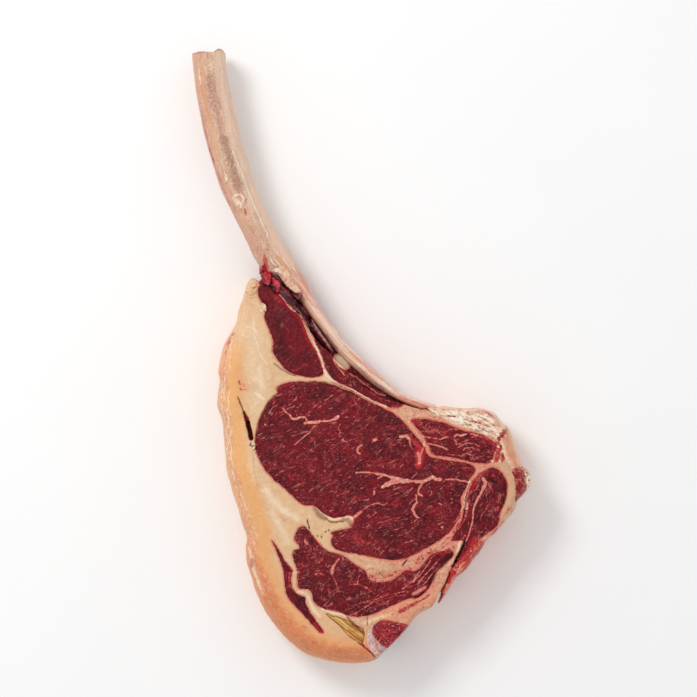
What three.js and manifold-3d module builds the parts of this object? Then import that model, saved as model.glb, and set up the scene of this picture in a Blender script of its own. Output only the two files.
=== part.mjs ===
// A raw tomahawk steak: one thick rib steak lying on its cut face, with the long
// scraped rib bone still on it. Millimetres, +Z up. The steak rests on z = 0, and
// its other cut face looks up. The bone leaves the meat towards -X, +Y.
//
// Every muscle, bone, ligament and fat layer is a solid of its own that runs
// through the steak from face to face, as it does in the real cut.

import * as THREE from 'three';
import { mergeVertices } from 'three/addons/utils/BufferGeometryUtils.js';
import Module from 'manifold-3d';

const wasm = await Module();
wasm.setup();

// ---------------------------------------------------------------- sizes

const THICKNESS = 48;          // cut face to cut face
const GAP = 0.3;               // clearance between neighbouring solids
const OUTLINE_STEP = 4;        // length of a facet along an outline
const EDGE_STEP = 6.5;         // length of a facet along the steak's own edge
const FACE_GRID = 9;           // facet size of the uneven upper face
const CUTTER_TOP = 70;         // through-going cutters reach from below z = 0 to here
const CUTTER_BOTTOM = -10;

const WIDEST_HEIGHT = 0.42;    // share of the thickness where the edge bulges most
const BOTTOM_INSET = 5;        // how far the edge pulls in at the lower face
const RING_HEIGHTS = [0, 0.05, 0.16, 0.42, 0.64, 0.8, 0.91, 0.97, 1];

const WAVE_DEPTH = 1.2;        // the face is sawn and soft, so never quite flat
const NECK_DROP = 4;           // the meat thins where it meets the bare bone
const NECK_START = 12;
const NECK_END = 46;
const RIB_DROP = 5;            // the face dips beside the rib
const RIB_DROP_NEAR = 6;
const RIB_DROP_FAR = 15;
const RECESS_FLOOR = 33;       // floor of the dark recess along the rib
const SLIT_FLOOR = 34;         // floor of the slit in the left fat

const RIB_SIDES = 16;
const RIB_SQUARENESS = 2.5;    // 2 is an ellipse, more is boxier
const RIB_RISE = 1.8;          // height of the ragged sawn end's teeth

// The point that every stretch of the steak's edge can be seen from.
const STEAK_CENTRE = new THREE.Vector2(0, -80);

// ------------------------------------------------------------- outlines

// The rib from its sawn end to the backbone:
// x, y, half width, height of the axis above z = 0, half depth.
const RIB_STATIONS = [
  [-99.6, 198.2, 10.8, 24, 14.5],
  [-98.6, 186, 10.7, 24, 15],
  [-96, 170, 11, 24, 15],
  [-92.9, 155, 11.4, 24, 15.3],
  [-89.3, 140, 11.3, 24, 15.3],
  [-84.8, 124, 11.2, 24, 15],
  [-79.4, 108, 10.8, 24, 15],
  [-72.6, 93, 10.2, 24, 15],
  [-64.8, 77.5, 10.1, 24, 15.5],
  [-57, 64, 10.6, 24, 16],
  [-46.6, 51.4, 8, 24, 16],
  [-40.2, 44.6, 5.6, 24, 16],
  [-35.3, 36.6, 4.5, 24, 16],
  [-24.1, 20.3, 4.3, 24, 16],
  [-11.6, 4.4, 4.3, 24, 16.4],
  [5.1, -11.5, 4.1, 24, 16.6],
  [14.2, -19, 3.6, 24, 16.6],
  [24.8, -26.7, 3, 24, 16.4],
  [35.2, -31, 2.8, 24, 15.5],
  [47.5, -35, 3, 24, 14],
];

// The steak's edge at its widest height, anticlockwise from the fat tip at the
// neck: x, y, and how far in from there the crest of the upper face lies.
const EDGE_FAT_SIDE = [
  [-71.4, 51, 3], [-74.8, 46, 4], [-77.2, 38, 6], [-80, 30, 8],
  [-81.4, 22, 9], [-85.2, 15, 11], [-89.8, 7, 13], [-92.2, -1, 14],
  [-93.4, -9, 15], [-92.4, -17, 15], [-93.6, -26, 15], [-93.6, -33, 15],
  [-91, -41, 14], [-90, -50, 14], [-89, -63, 13], [-88, -73, 12],
  [-85, -85, 10], [-81.2, -98, 7], [-77.4, -110.5, 6], [-75, -118, 8],
  [-75.7, -126, 10], [-74.4, -135, 11], [-70.7, -148, 11], [-65.8, -161, 11],
  [-58.8, -172.3, 11], [-50, -183.3, 12], [-42, -190.3, 12], [-33.5, -195.3, 12],
];
const EDGE_FOOT = [
  [-24, -198.4, 12], [-12, -200.1, 12], [0, -200.2, 11], [7, -199, 7],
  [10.9, -196.6, 3], [15, -192, 2], [19.2, -187.9, 2], [27, -180.1, 2],
  [31.4, -174.6, 3], [35.2, -169.8, 4], [40.5, -166, 4], [45.8, -164.2, 3],
];
const EDGE_CHINE_SIDE = [
  [48.5, -163.4, 2], [51.4, -160, 2.5], [55, -154.8, 3], [58.5, -149.4, 3],
  [61, -145, 3], [64.6, -142, 3], [68, -138.8, 3], [71.4, -134.6, 3],
  [75, -130, 4], [78.4, -125.6, 4], [80.8, -120.6, 4], [85.2, -116.6, 3],
  [90.4, -111, 3], [93.4, -107.9, 4], [98, -102.3, 5], [100.6, -98, 5],
  [101.6, -94.2, 5], [106, -90, 6], [109.5, -85.6, 7], [110.4, -81, 8],
  [109.5, -75.8, 8], [105.4, -72.4, 7], [103.3, -68.4, 7], [101, -62, 7],
  [98.5, -54.6, 7], [97, -49, 6], [95.2, -46, 5],
];
const EDGE_CHINE_TOP = [
  [92.4, -44.6, 4], [89.8, -40.8, 4], [86.4, -37.3, 4], [82, -35.4, 4],
  [77, -34, 4], [71, -34.7, 4], [62, -34, 3], [53, -32.9, 3], [47.5, -33.6, 2],
];
const EDGE_NECK = [
  [-57, 54.2, 2], [-62, 53.2, 2], [-65, 50.6, 1], [-66, 48, 1],
  [-67.8, 48.8, 1], [-69.6, 50.3, 1],
];
const FIRST_BURIED_STATION = 10;   // from here the edge follows the rib's axis

const EYE_MUSCLE = [
  [-68.8, -57], [-67.5, -48], [-64.5, -38], [-60, -30], [-54.5, -23.2],
  [-55.2, -21], [-50.5, -18.2], [-46, -17], [-36, -16.8], [-26, -17.2],
  [-16, -19.8], [-5, -24.2], [5, -29.5], [13, -33.2], [19.5, -36.8],
  [25.5, -41], [31, -47.2], [36, -53], [40.5, -59], [43.5, -64.5],
  [52, -66.9], [63, -68.6], [71, -70.2], [73.8, -74], [70.5, -79],
  [67, -86], [64.2, -92.5], [64.6, -99], [61.5, -107.5], [57, -114],
  [49, -120], [38, -126.3], [28, -131], [18, -131.8], [8, -130.2],
  [-4, -128], [-13, -126.5], [-18.8, -123], [-19.2, -118.5], [-18.2, -116.6],
  [-19.6, -114.8], [-14, -112.9], [-7, -111.3], [-5, -108], [-6.5, -103.2],
  [-12, -103.6], [-18.5, -104.8], [-25, -101.8], [-30.5, -97.2], [-38.5, -96],
  [-46, -89], [-55, -81.5], [-62.5, -73.5], [-67.5, -64],
];
const LIP_MUSCLE = [
  [-66, 45.8], [-67.3, 42], [-65.2, 35.8], [-61.2, 31.5], [-63, 26.8],
  [-60.3, 18.5], [-57.6, 11], [-57.2, 2], [-53, -4], [-48, -9.5],
  [-40, -12.6], [-30, -13.6], [-24.8, -11.5], [-25.5, -5.5], [-28.5, 1.5],
  [-33, 9.5], [-36.5, 17], [-40, 25.5], [-46, 30.5], [-52, 38],
  [-57.5, 43], [-61.5, 46],
];
const INTERCOSTAL_MUSCLE = [
  [-66.6, 47], [-65.6, 51], [-60, 56], [-48, 56], [-34, 40], [-22, 24],
  [-8, 8], [8, -9], [20, -19], [30, -26], [27, -31.6], [21, -33.6],
  [13, -30.8], [4, -26.6], [-6, -21.6], [-17, -16.2], [-22.6, -9.6],
  [-24.6, -3], [-27.6, 4], [-31.8, 11.5], [-36, 22], [-42, 28.5],
  [-50, 37], [-58, 43.5],
];
const RIB_FAT = [
  [-18.6, -0.2], [-17.4, -4.2], [-13.6, -8], [-9, -8.8], [-6.6, -5],
  [-10, 0], [-13, 3], [-16.6, 1.6],
];
const CHINE_MUSCLE = [
  [32.4, -41.8], [35.5, -41], [45, -41.6], [54, -43.8], [65, -47.8],
  [76, -50.4], [83, -54], [87.6, -58.2], [86, -62.5], [83.2, -68.6],
  [76, -69.4], [66, -67.3], [55, -65], [46.5, -63.6], [43.2, -57.5],
  [39.6, -50.8], [35, -45.5],
];
const SIDE_MUSCLE = [
  [85, -72.4], [90, -75], [93.4, -79.8], [94.2, -86], [92.8, -94],
  [90, -101], [89, -107], [86, -111.6], [80, -116.2], [74, -121],
  [69.5, -125.8], [65.5, -130.4], [61.4, -133.8], [62.8, -128.5],
  [64.8, -123.5], [65.8, -119.8], [62, -119.4], [58.6, -119.6],
  [60.5, -114.5], [63.5, -109], [66, -103], [67.2, -97], [68.6, -92],
  [69.4, -87.5], [72, -82.5], [76.5, -77.5], [80.5, -74],
];
const SIDE_FLAP = [
  [97, -108], [92, -118], [84, -130], [72, -146], [60, -160], [49, -170],
  [46.6, -165.4], [48.2, -162.6], [50.8, -157.6], [53, -152.8],
  [55.6, -147], [58, -141.2], [59.4, -137.6], [61.4, -134.8], [65.5, -131.4],
  [69.8, -126.6], [74.2, -122], [80, -117.2], [86, -112.6], [90, -107.4],
];
const CAP_MUSCLE = [
  [-38, -110], [-42, -113.5], [-43.2, -118.5], [-40, -124.6],
  [-43.6, -126.3], [-44.6, -130], [-42, -137], [-41.4, -145],
  [-40.6, -150.4], [-34, -151.6], [-31.8, -155], [-31, -159],
  [-24, -163.8], [-16, -165.2], [-9.5, -167.9], [0, -168.8],
  [9, -166.6], [20, -161.6], [30, -157.3], [37, -155.8], [43, -150.8],
  [46.3, -144.5], [48.5, -140], [55, -134], [59.5, -128.6],
  [57.6, -125.4], [51, -126.6], [44, -130], [39.5, -135.5],
  [34.5, -139.6], [28.5, -138.8], [21, -144.4], [12, -146.6],
  [5, -144.6], [2.8, -139.8], [-5, -134.4], [-12, -129.6],
  [-22, -126.3], [-28, -121.6], [-32.5, -115],
];
const SLIVER_MUSCLE = [
  [-58, -119.6], [-55.6, -125], [-52, -134], [-50.2, -141],
  [-49.4, -150], [-47, -157], [-39.5, -165.6], [-31.5, -174],
  [-26.2, -180], [-24, -178.8], [-27.6, -173], [-32.6, -166.4],
  [-36, -160.4], [-36.3, -156], [-40.5, -155], [-44.4, -150.5],
  [-45.6, -145], [-45, -139], [-49.4, -133.6], [-53, -126.4],
];
const LIGAMENT = [
  [-23, -166.8], [-16, -168.8], [-9, -171], [-3, -175], [1.2, -176.6],
  [2.2, -179.5], [1.4, -184], [-0.4, -186.8], [-4, -184.6],
  [-9, -180.8], [-14.5, -174.6], [-19.5, -170.4],
];
const BUTTON_BONE = [
  [6.9, -177.6], [7.6, -174.8], [11, -171.9], [16, -171.1], [23, -172.6],
  [28.6, -173.8], [34, -177], [30, -184], [21, -193], [16.4, -189.5],
  [13, -187.7], [9.6, -183.7], [7.2, -180.2],
];
const CARTILAGE = [
  [8, -173.2], [4.8, -177], [3.4, -182.5], [4.8, -189], [8.6, -195],
  [12, -202], [24, -196], [18, -188], [12, -180], [9, -175],
];
const CHINE_BONE = [
  [45.6, -36.6], [52, -39.6], [60, -44.2], [66, -46.6], [73, -48.9],
  [80, -50.6], [85.5, -53.6], [88.6, -57], [90.6, -61.5], [92.6, -66.8],
  [95.7, -71.8], [98.4, -77.4], [99.8, -84], [99.6, -90], [100.6, -96.6],
  [108, -98], [120, -86], [118, -70], [104, -40], [90, -28], [70, -26],
  [50, -26], [41, -30],
];

// The dark recess between the rib and the meat: x, y, width.
const RECESS = [
  [-57.5, 54, 4], [-50.5, 48.2, 7], [-42, 37.5, 8], [-36, 27.5, 7.5],
  [-28, 14.8, 7.5], [-20, 5, 6], [-12, -3, 6], [-3, -11.5, 6],
  [5, -19.2, 5.5], [15, -25.2, 4.5], [27, -29.8, 3], [37, -32.9, 2.6],
  [46.6, -36, 0.8],
];
// The slit in the left fat, and the open gap inside the side flap.
const FAT_SLIT = [
  [-79.6, -27.4], [-77, -35.4], [-74, -45], [-72.6, -54.4],
  [-70.7, -54.6], [-71, -47], [-73.6, -39.6], [-77, -32],
];
const FLAP_GAP = [
  [66.4, -119.2], [65.3, -123.2], [63.4, -128.2], [61.4, -133],
  [58.6, -136.6], [57.2, -140.8], [54.4, -147], [51.4, -153],
  [48.3, -158.4], [45, -164], [43, -168], [46, -170], [50, -162],
  [56, -150], [60, -140], [66, -130], [68, -122],
];
// A tongue of red meat left lying on the bone above the neck.
const NECK_SHRED = [
  [-65.4, 50], [-64.8, 58], [-62.6, 63.5], [-60.4, 62], [-59.6, 57.6],
  [-57.4, 53.6], [-54, 48], [-60, 43],
];
const SHRED_TOP = 43.5;
const SHRED_FLOOR = 34;

// -------------------------------------------------------------- finishes

const FINISHES = {
  bone: { color: 0xcfae90, roughness: 0.55, metalness: 0 },
  chine: { color: 0xd8bfa4, roughness: 0.5, metalness: 0 },
  fat: { color: 0xe6c398, roughness: 0.42, metalness: 0 },
  flap: { color: 0xc87a5c, roughness: 0.4, metalness: 0 },
  muscle: { color: 0x70202a, roughness: 0.38, metalness: 0 },
  spongy: { color: 0x861c24, roughness: 0.5, metalness: 0 },
  cartilage: { color: 0xc9b8b6, roughness: 0.35, metalness: 0 },
  ligament: { color: 0xc8924e, roughness: 0.4, metalness: 0 },
};

// --------------------------------------------------------------- helpers

const { smoothstep } = THREE.MathUtils;

function toManifold(geometry) {
  const bare = geometry.clone();
  bare.deleteAttribute('normal');
  bare.deleteAttribute('uv');
  const closed = mergeVertices(bare, 1e-4);
  const mesh = new wasm.Mesh({
    numProp: 3,
    vertProperties: new Float32Array(closed.attributes.position.array),
    triVerts: new Uint32Array(closed.index.array),
  });
  return new wasm.Manifold(mesh);
}

function toGeometry(solid) {
  const mesh = solid.getMesh();
  const geometry = new THREE.BufferGeometry();
  geometry.setAttribute('position', new THREE.BufferAttribute(mesh.vertProperties, 3));
  geometry.setIndex(new THREE.BufferAttribute(mesh.triVerts, 1));
  geometry.computeVertexNormals();
  return geometry;
}

// A smooth closed curve through a list of points, cut into even facets.
function smoothLoop(points, step) {
  const corners = points.map(([x, y, z = 0]) => new THREE.Vector3(x, y, z));
  const curve = new THREE.CatmullRomCurve3(corners, true, 'centripetal');
  const facets = Math.round(curve.getLength() / step);
  return curve.getSpacedPoints(facets).slice(0, facets);
}

function loopArea(loop) {
  return THREE.ShapeUtils.area(loop);
}

// Moves a loop outwards by a distance, square to its own direction.
function growLoop(loop, distance) {
  const side = Math.sign(loopArea(loop));
  return loop.map((point, i) => {
    const before = loop[(i + loop.length - 1) % loop.length];
    const after = loop[(i + 1) % loop.length];
    const along = new THREE.Vector2(after.x - before.x, after.y - before.y).normalize();
    return new THREE.Vector2(
      point.x + side * along.y * distance,
      point.y - side * along.x * distance,
    );
  });
}

function prism(loop, bottom = CUTTER_BOTTOM, top = CUTTER_TOP) {
  const shape = new THREE.Shape(loop.map((point) => new THREE.Vector2(point.x, point.y)));
  const settings = { depth: top - bottom, bevelEnabled: false, curveSegments: 1 };
  const geometry = new THREE.ExtrudeGeometry(shape, settings);
  geometry.translate(0, 0, bottom);
  return toManifold(geometry);
}

function prismOf(points, grow = 0, bottom = CUTTER_BOTTOM, top = CUTTER_TOP) {
  const loop = smoothLoop(points, OUTLINE_STEP);
  return prism(growLoop(loop, grow), bottom, top);
}

// A cylinder whose rings are moved to where ringPoint(share, angleShare, radius) says.
function ringSolid(sides, rings, ringPoint) {
  const geometry = new THREE.CylinderGeometry(1, 1, 1, sides, rings);
  const position = geometry.attributes.position;
  for (let i = 0; i < position.count; i += 1) {
    const radius = Math.hypot(position.getX(i), position.getZ(i));
    const turn = Math.atan2(position.getX(i), position.getZ(i)) / (2 * Math.PI);
    const side = Math.round((turn + 1) * sides) % sides;
    const ring = Math.round((position.getY(i) + 0.5) * rings);
    const point = ringPoint(ring, side, Math.round(radius));
    position.setXYZ(i, point.x, point.y, point.z);
  }
  return toManifold(geometry);
}

function largestPart(solid) {
  const parts = solid.decompose();
  parts.sort((a, b) => b.volume() - a.volume());
  return parts[0];
}

// ------------------------------------------------------------------- rib

const ribAxis = new THREE.CatmullRomCurve3(
  RIB_STATIONS.map(([x, y]) => new THREE.Vector3(x, y, 0)),
  false,
  'centripetal',
);

function ribDistance(x, y) {
  const spot = new THREE.Vector3(x, y, 0);
  let nearest = Infinity;
  for (let i = 1; i < RIB_STATIONS.length; i += 1) {
    const [ax, ay] = RIB_STATIONS[i - 1];
    const [bx, by] = RIB_STATIONS[i];
    const span = new THREE.Line3(new THREE.Vector3(ax, ay, 0), new THREE.Vector3(bx, by, 0));
    const foot = span.closestPointToPoint(spot, true, new THREE.Vector3());
    nearest = Math.min(nearest, foot.distanceTo(spot));
  }
  return nearest;
}

// A boxy oval ring at each station; a cap's middle has radius 0.
function makeRib(grow) {
  const last = RIB_STATIONS.length - 1;
  return ringSolid(RIB_SIDES, last, (ring, side, radius) => {
    const [x, y, halfWidth, axisHeight, halfDepth] = RIB_STATIONS[ring];
    const tangent = ribAxis.getTangent(ring / last);
    const angle = (2 * Math.PI * side) / RIB_SIDES;
    const power = 2 / RIB_SQUARENESS;
    const across = radius * Math.sign(Math.cos(angle)) * Math.abs(Math.cos(angle)) ** power;
    const up = radius * Math.sign(Math.sin(angle)) * Math.abs(Math.sin(angle)) ** power;
    const tooth = ring === 0 ? RIB_RISE * Math.sin(2.3 * across + 0.9) : 0;
    const reach = (ring === 0 ? -grow : 0) + (ring === last ? grow : 0) - tooth;
    return new THREE.Vector3(
      x + across * (halfWidth + grow) * -tangent.y + tangent.x * reach,
      y + across * (halfWidth + grow) * tangent.x + tangent.y * reach,
      axisHeight + up * (halfDepth + grow),
    );
  });
}

// ----------------------------------------------------------------- steak

const STEAK_EDGE = [
  ...EDGE_FAT_SIDE,
  ...EDGE_FOOT,
  ...EDGE_CHINE_SIDE,
  ...EDGE_CHINE_TOP,
  ...RIB_STATIONS.slice(FIRST_BURIED_STATION, -1).reverse().map(([x, y]) => [x, y, 1]),
  ...EDGE_NECK,
];

// How far in from the widest outline the edge lies at a height.
function edgeInset(heightShare, crestInset) {
  if (heightShare < WIDEST_HEIGHT) {
    const down = 1 - heightShare / WIDEST_HEIGHT;
    return BOTTOM_INSET * (1 - Math.sqrt(1 - down ** 2));
  }
  const up = (heightShare - WIDEST_HEIGHT) / (1 - WIDEST_HEIGHT);
  return crestInset * (1 - Math.sqrt(1 - up ** 2));
}

function faceHeight(x, y) {
  const wave = 0.5 - 0.5 * Math.sin(x / 15 + 0.4) * Math.cos(y / 19);
  const neck = NECK_DROP * smoothstep(y, NECK_START, NECK_END);
  const beside = 1 - smoothstep(ribDistance(x, y), RIB_DROP_NEAR, RIB_DROP_FAR);
  const fade = 1 - smoothstep(x, 18, 44);
  return THICKNESS - WAVE_DEPTH * wave - neck - RIB_DROP * beside * fade;
}

// Everything below the uneven upper face.
function makeUnderFace(width, length) {
  const columns = Math.round(width / FACE_GRID);
  const rows = Math.round(length / FACE_GRID);
  const depth = THICKNESS - CUTTER_BOTTOM;
  const block = new THREE.BoxGeometry(width, length, depth, columns, rows, 1);
  block.translate(0, STEAK_CENTRE.y, CUTTER_BOTTOM + depth / 2);
  const position = block.attributes.position;
  for (let i = 0; i < position.count; i += 1) {
    if (position.getZ(i) > THICKNESS - GAP) {
      position.setZ(i, faceHeight(position.getX(i), position.getY(i)));
    }
  }
  return toManifold(block);
}

function makeSteakBlock() {
  const loop = smoothLoop(STEAK_EDGE, EDGE_STEP);
  const rings = RING_HEIGHTS.length - 1;
  return ringSolid(loop.length, rings, (ring, side, radius) => {
    const share = RING_HEIGHTS[ring];
    if (radius === 0) {
      return new THREE.Vector3(STEAK_CENTRE.x, STEAK_CENTRE.y, share * THICKNESS);
    }
    const edge = loop[side];
    const outward = new THREE.Vector2(edge.x, edge.y).sub(STEAK_CENTRE);
    const length = outward.length() - edgeInset(share, edge.z);
    outward.setLength(length).add(STEAK_CENTRE);
    return new THREE.Vector3(outward.x, outward.y, share * THICKNESS);
  });
}

// A band of changing width, closed round both ends.
function bandLoop(stations) {
  const left = [];
  const right = [];
  stations.forEach(([x, y, width], i) => {
    const [ax, ay] = stations[Math.max(i - 1, 0)];
    const [bx, by] = stations[Math.min(i + 1, stations.length - 1)];
    const along = new THREE.Vector2(bx - ax, by - ay).normalize();
    left.push([x - along.y * width / 2, y + along.x * width / 2]);
    right.unshift([x + along.y * width / 2, y - along.x * width / 2]);
  });
  return [...left, ...right];
}

// -------------------------------------------------------------- assembly

const rib = makeRib(0);
const ribRoom = makeRib(GAP);
const steak = makeSteakBlock().intersect(makeUnderFace(240, 280));
const recess = prismOf(bandLoop(RECESS), 0, RECESS_FLOOR);
const fatSlit = prismOf(FAT_SLIT, 0, SLIT_FLOOR);
const flapGap = prismOf(FLAP_GAP);

// A muscle or bone: the steak inside its outline, clear of the rib and of the
// neighbours it touches.
function cutFromSteak(outline, neighbours = []) {
  let solid = steak.intersect(prismOf(outline)).subtract(ribRoom).subtract(recess);
  for (const neighbour of neighbours) {
    solid = solid.subtract(prismOf(neighbour, GAP));
  }
  return largestPart(solid);
}

function makeIntercostal() {
  const meat = steak.intersect(prismOf(INTERCOSTAL_MUSCLE)).subtract(recess);
  const shred = prismOf(NECK_SHRED, 0, SHRED_FLOOR, SHRED_TOP);
  let solid = meat.add(shred).subtract(ribRoom);
  for (const neighbour of [LIP_MUSCLE, RIB_FAT, CHINE_BONE]) {
    solid = solid.subtract(prismOf(neighbour, GAP));
  }
  return largestPart(solid);
}

const PIECES = {
  eye_muscle: ['muscle', cutFromSteak(EYE_MUSCLE)],
  lip_muscle: ['muscle', cutFromSteak(LIP_MUSCLE)],
  intercostal_muscle: ['muscle', makeIntercostal()],
  chine_muscle: ['muscle', cutFromSteak(CHINE_MUSCLE)],
  side_muscle: ['muscle', cutFromSteak(SIDE_MUSCLE, [SIDE_FLAP])],
  cap_muscle: ['muscle', cutFromSteak(CAP_MUSCLE)],
  sliver_muscle: ['muscle', cutFromSteak(SLIVER_MUSCLE)],
  rib_fat: ['fat', cutFromSteak(RIB_FAT)],
  side_flap: ['flap', cutFromSteak(SIDE_FLAP)],
  ligament: ['ligament', cutFromSteak(LIGAMENT)],
  button_bone: ['spongy', cutFromSteak(BUTTON_BONE)],
  cartilage: ['cartilage', cutFromSteak(CARTILAGE, [BUTTON_BONE])],
  chine_bone: ['chine', cutFromSteak(CHINE_BONE)],
  rib_bone: ['bone', rib],
};

// The fat is what is left of the steak between all the others.
function makeFatBody() {
  const others = [
    EYE_MUSCLE, LIP_MUSCLE, INTERCOSTAL_MUSCLE, CHINE_MUSCLE, SIDE_MUSCLE, SIDE_FLAP,
    CAP_MUSCLE, SLIVER_MUSCLE, RIB_FAT, LIGAMENT, BUTTON_BONE, CARTILAGE, CHINE_BONE,
  ];
  let solid = steak.subtract(ribRoom).subtract(recess).subtract(fatSlit).subtract(flapGap);
  for (const outline of others) {
    solid = solid.subtract(prismOf(outline, GAP));
  }
  return largestPart(solid);
}

PIECES.fat_body = ['fat', makeFatBody()];

const tomahawkSteak = new THREE.Group();
for (const [name, [finish, solid]] of Object.entries(PIECES)) {
  const material = new THREE.MeshStandardMaterial(FINISHES[finish]);
  const mesh = new THREE.Mesh(toGeometry(solid), material);
  mesh.name = name;
  tomahawkSteak.add(mesh);
}

export default tomahawkSteak;
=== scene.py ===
# %% [markdown]
# # A raw tomahawk steak
#
# A tomahawk is one thick rib steak with its long rib left on and scraped bare. It is
# sawn straight through the animal's back, so the face that looks up is a section: red
# muscles, each in its own skin of fat, the backbone end, and the rib running along one
# side. The scene builds that section once, as one block with a living surface, and then
# parts it into its muscles, bones and fat.
#
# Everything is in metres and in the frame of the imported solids. The long lists below are
# in millimetres, because that is how a cut of meat is measured.

import math

import bmesh
import bpy
import numpy as np
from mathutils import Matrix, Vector, noise
from mathutils.bvhtree import BVHTree


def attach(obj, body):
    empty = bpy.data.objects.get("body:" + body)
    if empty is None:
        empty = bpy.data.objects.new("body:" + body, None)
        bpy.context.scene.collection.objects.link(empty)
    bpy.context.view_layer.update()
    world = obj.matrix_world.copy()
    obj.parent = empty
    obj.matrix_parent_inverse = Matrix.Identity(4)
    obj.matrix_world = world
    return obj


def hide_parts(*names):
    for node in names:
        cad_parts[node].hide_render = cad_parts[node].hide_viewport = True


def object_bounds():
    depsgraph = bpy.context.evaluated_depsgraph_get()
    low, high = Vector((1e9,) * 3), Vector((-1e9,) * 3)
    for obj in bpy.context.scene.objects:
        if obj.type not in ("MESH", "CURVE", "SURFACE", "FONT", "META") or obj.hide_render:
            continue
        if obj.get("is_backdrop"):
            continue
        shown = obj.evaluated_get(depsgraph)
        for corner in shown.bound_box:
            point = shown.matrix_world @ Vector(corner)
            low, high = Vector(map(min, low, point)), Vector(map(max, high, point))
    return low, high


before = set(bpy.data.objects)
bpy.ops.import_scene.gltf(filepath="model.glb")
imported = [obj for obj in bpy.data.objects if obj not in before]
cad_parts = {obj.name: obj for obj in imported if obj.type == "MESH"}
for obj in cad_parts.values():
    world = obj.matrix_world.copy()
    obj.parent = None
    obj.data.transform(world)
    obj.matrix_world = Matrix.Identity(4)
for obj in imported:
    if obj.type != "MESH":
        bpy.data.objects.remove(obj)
cad_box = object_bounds()
MM = 0.001
scene = bpy.context.scene
print("solids to dress:", sorted(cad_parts))
print("box of the solids, mm:", [round(v / MM, 1) for corner in cad_box for v in corner])

# %% [markdown]
# ## The camera
#
# The steak lies on a table and is seen from straight above. A long lens far away keeps
# the near face and the table in almost the same scale, so the sides don't splay out. The
# width of the frame is known at the height of the upper face, and the lens gives the
# distance for it.

# %% Camera
LENS = 250
SENSOR = 36
FRAME_WIDTH = 0.45305
FACE_LEVEL = 0.036
FRAME_CENTRE = (-0.00845, 0.0049)

camera_data = bpy.data.cameras.new("camera")
camera_data.lens = LENS
camera_data.sensor_width = SENSOR
camera = bpy.data.objects.new("camera", camera_data)
camera.location = (*FRAME_CENTRE, FACE_LEVEL + FRAME_WIDTH * LENS / SENSOR)
scene.collection.objects.link(camera)
scene.camera = camera
print("camera height, m:", round(camera.location.z, 3))

# %% [markdown]
# ## Table and light
#
# A near-white table and a large soft lamp from the upper left, with the pale room filling
# the shadows. The plain view transform keeps the colours of meat and fat as they are
# mixed, where a filmic one would grey the reds.

# %% Table and light
ROOM_STRENGTH = 0.72
KEY_WATTS = 9.5
KEY_SIZE = 0.5
KEY_PLACE = Vector((-0.75, 0.75, 1.25))
TABLE_REACH = 4

scene.view_settings.view_transform = "Standard"
world = bpy.data.worlds.new("room")
world.use_nodes = True
world.node_tree.nodes["Background"].inputs["Color"].default_value = (1, 1, 1, 1)
world.node_tree.nodes["Background"].inputs["Strength"].default_value = ROOM_STRENGTH
scene.world = world

lamp_data = bpy.data.lights.new("key", "AREA")
lamp_data.energy = KEY_WATTS
lamp_data.size = KEY_SIZE
lamp = bpy.data.objects.new("key", lamp_data)
lamp.location = KEY_PLACE
lamp.rotation_euler = (-KEY_PLACE).to_track_quat("-Z", "Y").to_euler()
scene.collection.objects.link(lamp)

table_mesh = bpy.data.meshes.new("table")
table_bm = bmesh.new()
bmesh.ops.create_grid(table_bm, x_segments=4, y_segments=4, size=TABLE_REACH)
table_bm.to_mesh(table_mesh)
table_bm.free()
table = bpy.data.objects.new("table", table_mesh)
scene.collection.objects.link(table)
table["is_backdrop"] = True
print("lamp:", KEY_WATTS, "W,", round(KEY_PLACE.length, 2), "m from the steak")
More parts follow.
